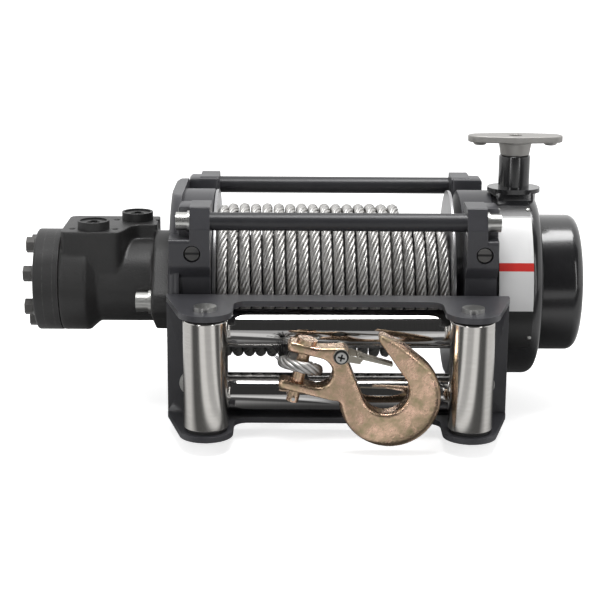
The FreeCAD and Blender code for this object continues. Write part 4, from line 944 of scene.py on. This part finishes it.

# %% [markdown]
# ## Small fasteners
# The pads hold a slotted screw deep in each hole, and the plate is riveted at its corners. They are small
# turned pieces. The slots are thin black bars of painted shade that stand just proud of the screws, because
# so small a cut would hardly be seen.

# %% Fit the screws of the pads
PAD_X = 127.0
PAD_Z = 47.0
PAD_FACE = -102.0
SCREW_SUNK = 5.5
SCREW_PROFILE = [(0, 0), (0, 6.8), (3.0, 6.2), (3.0, 0)]
SLOT_HALF_LENGTH, SLOT_HALF_WIDTH = 6.2, 0.9
SLOT_BACK, SLOT_FRONT = 3.0, 2.2
screws = bmesh.new()
slots = bmesh.new()
for side in (-1, 1):
    x = side * PAD_X
    spin_profile(screws, SCREW_PROFILE, at(x, PAD_FACE + SCREW_SUNK, PAD_Z), (0, -1, 0), 24)
    # painted shade: each slot is a black bar
    add_box(slots, at(x - SLOT_HALF_LENGTH, PAD_FACE + SLOT_FRONT, PAD_Z - SLOT_HALF_WIDTH),
            at(x + SLOT_HALF_LENGTH, PAD_FACE + SLOT_BACK, PAD_Z + SLOT_HALF_WIDTH))
piece_from(screws, "pad_screws", motor_bolt, "root")
piece_from(slots, "pad_screw_slots", black_and_recess_shade, "root", smooth=False)
print("pad screws at", PAD_X, "mm from the middle")

# %% Rivet the plate
PLATE_RADIUS = 86.2
RIVETS = [(144.5, 62.0), (171.0, 62.0), (171.0, -22.0), (144.5, -22.0)]
RIVET_PROFILE = [(-0.4, 0), (-0.4, 2.2), (0.5, 2.0), (1.1, 1.1), (1.2, 0)]
shape = bmesh.new()
for x, degrees in RIVETS:
    lean = math.radians(degrees)
    outward = Vector((0, -math.cos(lean), math.sin(lean)))
    spin_profile(shape, RIVET_PROFILE, at(x, 0, 0) + outward * (PLATE_RADIUS * MM), outward, 16)
piece_from(shape, "plate_rivets", zinc_bolt, "root")
print("rivets:", len(RIVETS))

# %% [markdown]
# ## Latch
# The latch is a narrow bar of pressed steel that closes the mouth of the hook. Two cheeks lie beside the
# shank, a strap joins them, and a ribbed tongue runs on to the tip. It turns on a screw whose cross recess is
# drawn as black bars of painted shade, in a dark ring. Its places are given in the hook's own plane, along
# and across the shank.

# %% Set out the plane of the hook
HOOK_PIN = at(-32.0, -165.0, -34.5)
TILT = math.radians(13.5)
LATCH_PIVOT = (30.0, 19.0)
LATCH_TIP = (74.2, 20.2)
shank_axis = Vector((math.cos(TILT), 0, -math.sin(TILT)))
pin_axis = Vector((math.sin(TILT), 0, math.cos(TILT)))


def in_hook(along, across, toward=0.0):
    """Point in the hook's plane, in millimetres along and across the shank, and toward the viewer."""
    return HOOK_PIN + (shank_axis * along + pin_axis * across - Vector((0, toward, 0))) * MM


def add_bar(shape, first, last, first_half, last_half, front, back):
    """Adds a flat tapered bar in the hook's plane."""
    run = Vector((last[0] - first[0], last[1] - first[1])).normalized()
    side = Vector((-run.y, run.x))
    outline = [(first, first_half), (last, last_half), (last, -last_half), (first, -first_half)]
    add_prism(shape, *([in_hook(point[0] + side.x * half, point[1] + side.y * half, depth)
                        for point, half in outline] for depth in (front, back)))


print("hook pin at", HOOK_PIN)

# %% Press the latch
CHEEK_OUT, CHEEK_IN = 12.0, 10.1
CHEEK_END = (47.0, 19.2)
STRAP = ((43.5, 20.4), (48.0, 20.2), 1.2, 1.0, 11.9, -11.9)
TONGUE = ((45.0, 20.9), LATCH_TIP, 1.8, 1.1, 5.0, -5.0)
RIB = ((47.5, 20.9), (73.0, 19.8), 0.6, 0.5, 5.9, -5.9)
shape = bmesh.new()
for front, back in ((CHEEK_OUT, CHEEK_IN), (-CHEEK_IN, -CHEEK_OUT)):
    add_bar(shape, LATCH_PIVOT, CHEEK_END, 3.4, 2.4, front, back)
for bar in (STRAP, TONGUE, RIB):
    add_bar(shape, *bar)
for toward in (CHEEK_IN, -CHEEK_OUT):
    spin_profile(shape, rounded_rim(0, 1.9, 6.8, 0.5), in_hook(*LATCH_PIVOT, toward), (0, -1, 0), 32)
piece_from(shape, "latch_bar", latch_steel, "latch", node="hook_latch")
print("latch from", LATCH_PIVOT, "to", LATCH_TIP)

# %% Ring and cross of the latch's screw
RING_TOWARD = 11.8
CROSS_LONG, CROSS_THIN = 3.0, 0.7
CROSS_FRONT, CROSS_BACK = 14.75, 14.2
shape = bmesh.new()
spin_profile(shape, rounded_rim(0, 0.5, 6.2, 0.2), in_hook(*LATCH_PIVOT, RING_TOWARD), (0, -1, 0), 32)
piece_from(shape, "latch_ring", black_and_recess_shade, "latch")
shape = bmesh.new()
# painted shade: the cross recess is two black bars
for half, reach in ((CROSS_LONG, CROSS_THIN), (CROSS_THIN, CROSS_LONG)):
    ends = [(LATCH_PIVOT[0] + way * reach, LATCH_PIVOT[1]) for way in (-1, 1)]
    add_bar(shape, *ends, half, half, CROSS_FRONT, CROSS_BACK)
piece_from(shape, "latch_screw_cross", black_and_recess_shade, "hook_assembly", smooth=False)
print("cross", 2 * CROSS_LONG, "mm wide")

# %% [markdown]
# ## Wire rope
# The rope is six strands laid round each other to the right, and each strand is itself a bundle of fine
# wires. Each strand is real geometry here, because the valleys between strands make the rope's outline.
# The wires are too fine for that, and are a bump that follows the strand. Geometry Nodes take the rope's
# centre line, copy it once a strand, wind every copy round it and give it thickness.

# %% Wind a copy for each strand


def captured(tree, kind, name):
    """Capture Attribute node that keeps one field of the points."""
    node = new_node(tree, "GeometryNodeCaptureAttribute", domain="POINT")
    node.capture_items.new(kind, name)
    return node


def wound_copies(tree, given):
    """Copies of the centre line wound round it, and the length along each."""
    resample = new_node(tree, "GeometryNodeResampleCurve", mode="LENGTH")
    copies = new_node(tree, "GeometryNodeDuplicateElements", domain="SPLINE")
    length = tree.nodes.new("GeometryNodeSplineParameter").outputs["Length"]
    tangent = tree.nodes.new("GeometryNodeInputTangent").outputs["Tangent"]
    normal = tree.nodes.new("GeometryNodeInputNormal").outputs["Normal"]
    turns = maths(tree, "DIVIDE", length, given["Lay Length"])
    share = maths(tree, "DIVIDE", copies.outputs["Duplicate Index"], given["Strands"])
    angle = maths(tree, "MULTIPLY", maths(tree, "ADD", turns, share), 2 * math.pi)
    shifts = []
    for function, way in (("COSINE", normal), ("SINE", vector_maths(tree, "CROSS_PRODUCT", tangent, normal))):
        reach = maths(tree, "MULTIPLY", maths(tree, function, angle), given["Circle Radius"])
        shifts.append(vector_maths(tree, "SCALE", way, reach))
    keep = captured(tree, "FLOAT", "Run")
    move = tree.nodes.new("GeometryNodeSetPosition")
    link_nodes(
        tree,
        (given["Centre Line"], resample.inputs["Curve"]), (given["Step"], resample.inputs["Length"]),
        (resample.outputs["Curve"], copies.inputs["Geometry"]), (given["Strands"], copies.inputs["Amount"]),
        (copies.outputs["Geometry"], keep.inputs["Geometry"]), (length, keep.inputs["Run"]),
        (keep.outputs["Geometry"], move.inputs["Geometry"]),
        (vector_maths(tree, "ADD", *shifts), move.inputs["Offset"]))
    return move.outputs["Geometry"], keep.outputs["Run"]


print("winding helpers ready")

# %% Give a strand its cross-section


def strand_ring(tree, given):
    """Cross-section of a strand, and the place of each of its points on it."""
    ring = new_node(tree, "GeometryNodeCurvePrimitiveCircle", mode="RADIUS")
    position = tree.nodes.new("GeometryNodeInputPosition").outputs["Position"]
    keep = captured(tree, "VECTOR", "Around")
    link_nodes(
        tree,
        (given["Sides"], ring.inputs["Resolution"]), (given["Strand Radius"], ring.inputs["Radius"]),
        (ring.outputs["Curve"], keep.inputs["Geometry"]), (position, keep.inputs["Around"]))
    return keep.outputs["Geometry"], keep.outputs["Around"]


print("cross-section helper ready")

# %% [markdown]
# The tree keeps the place on each strand as an attribute, so that the finish can draw the wires: two numbers
# for the direction round the strand, and one for the length along it.

# %% Rope tree
ROPE_SOCKETS = [
    ("Centre Line", "NodeSocketGeometry"), ("Strands", "NodeSocketInt"), ("Lay Length", "NodeSocketFloat"),
    ("Circle Radius", "NodeSocketFloat"), ("Strand Radius", "NodeSocketFloat"), ("Step", "NodeSocketFloat"),
    ("Sides", "NodeSocketInt"), ("Finish", "NodeSocketMaterial")]


def build_strand_tree():
    """Geometry tree that turns a centre line into a laid rope."""
    tree = bpy.data.node_groups.new("laid_rope", "GeometryNodeTree")
    for name, kind in ROPE_SOCKETS:
        tree.interface.new_socket(name, in_out="INPUT", socket_type=kind)
    tree.interface.new_socket("Rope", in_out="OUTPUT", socket_type="NodeSocketGeometry")
    given = tree.nodes.new("NodeGroupInput").outputs
    leave = tree.nodes.new("NodeGroupOutput")
    strands, run = wound_copies(tree, given)
    ring, around = strand_ring(tree, given)
    skin = tree.nodes.new("GeometryNodeCurveToMesh")
    skin.inputs["Fill Caps"].default_value = True
    place = tree.nodes.new("ShaderNodeCombineXYZ")
    for part, letter in zip(split_vector(tree, around), "XY"):
        tree.links.new(maths(tree, "DIVIDE", part, given["Strand Radius"]), place.inputs[letter])
    store = new_node(tree, "GeometryNodeStoreNamedAttribute", data_type="FLOAT_VECTOR", domain="POINT")
    store.inputs["Name"].default_value = "wire_place"
    smooth = tree.nodes.new("GeometryNodeSetShadeSmooth")
    real = tree.nodes.new("GeometryNodeRealizeInstances")
    paint = tree.nodes.new("GeometryNodeSetMaterial")
    link_nodes(
        tree,
        (strands, skin.inputs["Curve"]), (ring, skin.inputs["Profile Curve"]), (run, place.inputs["Z"]),
        (skin.outputs["Mesh"], store.inputs["Geometry"]), (place.outputs["Vector"], store.inputs["Value"]),
        (store.outputs["Geometry"], smooth.inputs["Geometry"]),
        (smooth.outputs["Geometry"], real.inputs["Geometry"]),
        (real.outputs["Geometry"], paint.inputs["Geometry"]), (given["Finish"], paint.inputs["Material"]),
        (paint.outputs["Geometry"], leave.inputs["Rope"]))
    return tree


strand_tree = build_strand_tree()
print("rope tree:", len(strand_tree.nodes), "nodes")

# %% Run the tree on a line


def run_tree(name, source, tree, values):
    """Runs a geometry tree on an object and returns the result as a plain mesh object."""
    modifier = source.modifiers.new("tree", "NODES")
    modifier.node_group = tree
    for item in tree.interface.items_tree:
        if item.item_type == "SOCKET" and item.in_out == "INPUT" and item.name in values:
            modifier[item.identifier] = values[item.name]
    mesh = plain_mesh(source)
    mesh.name = name
    bpy.data.objects.remove(source)
    return add_object(name, mesh)


def line_object(name, kind, points):
    """Curve object of one spline led by the points."""
    curve = bpy.data.curves.new(name, "CURVE")
    curve.dimensions = "3D"
    spline = curve.splines.new(kind)
    spline.points.add(len(points) - 1)
    for item, point in zip(spline.points, points):
        item.co = (*point, 1)
    return add_object(name, curve)


print("line helpers ready")

# %% [markdown]
# ### Rope finish
# The wires of a strand run round it at a slant, against the lay of the rope. A sine of the place round and
# along the strand gives the humps and the valleys of the wires, and the valleys are painted darker as shade.

# %% Galvanise the rope
STRANDS = 6
WIRES_PER_STRAND = 9
WIRE_LAY = 0.024
VALLEY_SHADE_GREY = (0.32, 0.315, 0.305)
WIRE_GREY = (0.62, 0.61, 0.595)
STAIN_GREY = (0.4, 0.39, 0.37)
ROPE_ROUGHNESS = (0.32, 0.5)
WIRE_BUMP, WIRE_HEIGHT = 0.22, 0.0002


def make_rope_steel():
    """Galvanised wire: grey, painted darker in the valleys as shade, with the wires as bump."""
    material, tree, shader, vector = new_material("rope_steel", 1.0)
    place = new_node(tree, "ShaderNodeAttribute", attribute_name="wire_place")
    x, y, run = split_vector(tree, place.outputs["Vector"])
    around = maths(tree, "MULTIPLY", maths(tree, "ARCTAN2", y, x), WIRES_PER_STRAND)
    along = maths(tree, "MULTIPLY", run, -2 * math.pi * WIRES_PER_STRAND / WIRE_LAY / STRANDS)
    half_phase = maths(tree, "MULTIPLY", maths(tree, "ADD", around, along), 0.5)
    wave = maths(tree, "ABSOLUTE", maths(tree, "SINE", half_phase))
    slow = noise(tree, vector, 60.0, 4.0)
    # painted shade: the valleys between the wires are darker than their tops
    tone = mix_colour(tree, remap(tree, wave, 0.0, 0.7), VALLEY_SHADE_GREY, WIRE_GREY)
    patched = mix_colour(tree, remap(tree, slow, 0.5, 0.9), tone, STAIN_GREY)
    link_nodes(tree, (patched, shader.inputs["Base Color"]),
               (remap(tree, slow, 0.0, 1.0, *ROPE_ROUGHNESS), shader.inputs["Roughness"]))
    add_bump(tree, shader, wave, WIRE_BUMP, WIRE_HEIGHT)
    return material


rope_steel = make_rope_steel()
print("wires in a strand:", WIRES_PER_STRAND)

# %% [markdown]
# ### Rope on the drum
# The rope lies in neat turns side by side. The outer layer covers the motor side, and towards the gearbox
# the layer below shows. The path is worked out turn by turn as a helix round the drum axis. Each turn lies
# a little higher or lower than the next, and a fixed seed keeps that the same in every run.

# %% Work out the turns
ROPE_RADIUS = 5.0 * MM
TURNS = 20
OUTER_TURNS = 15
DIVE_TURNS = 0.3
POINTS_PER_TURN = 90
HALF_TURN, TURN_AHEAD = 0.5, 0.25
WINDING_START = FLANGES["drum_flange_left"][0] * MM
WINDING_END = FLANGES["drum_flange_right"][0] * MM
pitch = (WINDING_END - WINDING_START) / TURNS
uneven = random.Random(7)
LIFTS = [uneven.uniform(-0.5, 0.25) * MM for _ in range(TURNS + 2)]


def winding_points(first_turn, last_turn, radius, dive_from=TURNS):
    """Helix round the drum axis; from the turn dive_from on the rope goes down to the layer below."""
    points = []
    for step in range(int((last_turn - first_turn) * POINTS_PER_TURN) + 1):
        turn_number = first_turn + step / POINTS_PER_TURN
        angle = 2 * math.pi * turn_number
        x = WINDING_START + pitch * min(max(turn_number + TURN_AHEAD, HALF_TURN), TURNS - HALF_TURN)
        whole = int(turn_number)
        part = turn_number - whole
        lift = LIFTS[whole] * (1 - part) + LIFTS[whole + 1] * part
        dive = min(max((turn_number - dive_from) / DIVE_TURNS, 0), 1)
        reach = radius + lift - 2 * ROPE_RADIUS * dive
        points.append((x, -reach * math.sin(angle), drum_axis.z + reach * math.cos(angle)))
    return points


print("pitch of the rope", round(pitch, 5))

# %% Wind the rope
ROPE_VALUES = {"Strands": STRANDS, "Lay Length": 0.047, "Circle Radius": 0.0034, "Strand Radius": 0.00165,
               "Step": 0.0045, "Sides": 6, "Finish": rope_steel}


def lay_rope(name, points, **changes):
    """Rope through the points."""
    line = line_object(name + "_line", "POLY", points)
    return run_tree(name, line, strand_tree, {**ROPE_VALUES, **changes})


outer_line = winding_points(0, OUTER_TURNS + DIVE_TURNS, outer_radius - ROPE_RADIUS, OUTER_TURNS)
lower_line = winding_points(OUTER_TURNS - 1, TURNS - HALF_TURN, outer_radius - 3 * ROPE_RADIUS)
outer = lay_rope("rope_outer_layer", outer_line)
lower = lay_rope("rope_lower_layer", lower_line)
tie(outer, "drum", "rope_winding")
tie(lower, "drum", "rope_lower_layer")
for rope in (outer, lower):
    print(rope.name, len(rope.data.polygons), "faces")

# %% [markdown]
# ### Rope lead and eye
# From the underside of the drum the rope runs straight and taut to its ferrule, behind the hook. Its route
# is a smooth spline, and the strands follow the points that Blender reads from it. The end of the rope goes
# round the clevis pin and back into the same ferrule, so the eye is a second, bent piece of the same rope.

# %% Follow a route
STEPS_BETWEEN = 24


def route_points(name, points):
    """Points along the smooth spline of a route, as Blender reads them."""
    line = line_object(name, "NURBS", points)
    line.data.resolution_u = STEPS_BETWEEN
    spline = line.data.splines[0]
    spline.order_u = 3
    spline.use_endpoint_u = True
    mesh = plain_mesh(line)
    found = [vertex.co.copy() for vertex in mesh.vertices]
    bpy.data.objects.remove(line)
    bpy.data.meshes.remove(mesh)
    return found


print("routes are read in", STEPS_BETWEEN, "steps")

# %% Lead the rope to the hook
LEAD_START = at(-45.55, -49.67, -58.2)
LEAD_END = at(-39.54, -100.78, -47.69)
INTO_FERRULE = 0.012
BOW = 0.0004
forward = (HOOK_PIN - LEAD_START).normalized()
upward_axis = -forward.cross(shank_axis).normalized()
sideways = -upward_axis.cross(forward).normalized()
lead_route = [LEAD_START, LEAD_START.lerp(LEAD_END, 0.4) - upward_axis * BOW,
              LEAD_START.lerp(LEAD_END, 0.8) - upward_axis * BOW / 2, LEAD_END + forward * INTO_FERRULE]
lead_line = route_points("lead_route", lead_route)
lead = lay_rope("rope_lead_strands", lead_line, Step=0.003, Sides=8)
tie(lead, "root", "rope_lead")

# %% [markdown]
# The eye is drawn in its own plane, with one number sideways and one along the rope.

# %% Bend the eye
EYE_CENTRE = HOOK_PIN - forward * 0.00275
EYE_HALF = [(-5.2, -38.0), (-5.2, -30.0), (-9.0, -20.5), (-13.9, -10.0), (-15.2, 1.5), (-11.0, 12.2)]
EYE_ROUTE = EYE_HALF + [(0.0, 16.0)] + [(-a, b) for a, b in reversed(EYE_HALF)]
eye_route = [EYE_CENTRE + (sideways * a + forward * b) * MM for a, b in EYE_ROUTE]
eye = lay_rope("rope_eye_strands", route_points("eye_route", eye_route), Step=0.0025, Sides=8)
tie(eye, "root", "rope_eye")
print("eye", len(eye.data.polygons), "faces")

# %% [markdown]
# ### Frayed wires
# Where the rope's end comes out of the ferrule, a few wires stick up. Each is a short thin curve with a bend
# of its own, and a fixed seed keeps them the same in every run.

# %% Fray the rope end
WIRE_COUNT = 34
WIRE_RADIUS = 0.3 * MM
WIRE_STEPS = 3
tuft_foot = EYE_CENTRE - forward * (13.0 * MM) + Vector((-13.5, 0, 2.0)) * MM
loose = random.Random(11)
tuft = bpy.data.curves.new("frayed_wires", "CURVE")
tuft.dimensions = "3D"
tuft.bevel_depth = WIRE_RADIUS
tuft.bevel_resolution = 1
for _ in range(WIRE_COUNT):
    lean = Vector((loose.uniform(-0.7, 0.3), loose.uniform(-0.1, 0.35), loose.uniform(0.5, 1.0))).normalized()
    reach = loose.uniform(11.0, 21.0) * MM
    foot = tuft_foot + Vector([loose.uniform(-2.2, 2.2) * MM for _ in range(3)])
    droop = Vector((loose.uniform(-2, 2), 0, loose.uniform(-3, 0.5))) * MM
    wire = tuft.splines.new("POLY")
    wire.points.add(WIRE_STEPS)
    for step, item in enumerate(wire.points):
        share = step / WIRE_STEPS
        item.co = (*(foot + lean * (reach * share) + droop * share * share), 1)
tuft_line = add_object("frayed_line", tuft)
tuft_mesh = plain_mesh(tuft_line)
bpy.data.objects.remove(tuft_line)
dress(tuft_mesh, black_and_recess_shade)
tie(add_object("frayed_wires", tuft_mesh), "root")
print("frayed wires:", WIRE_COUNT)
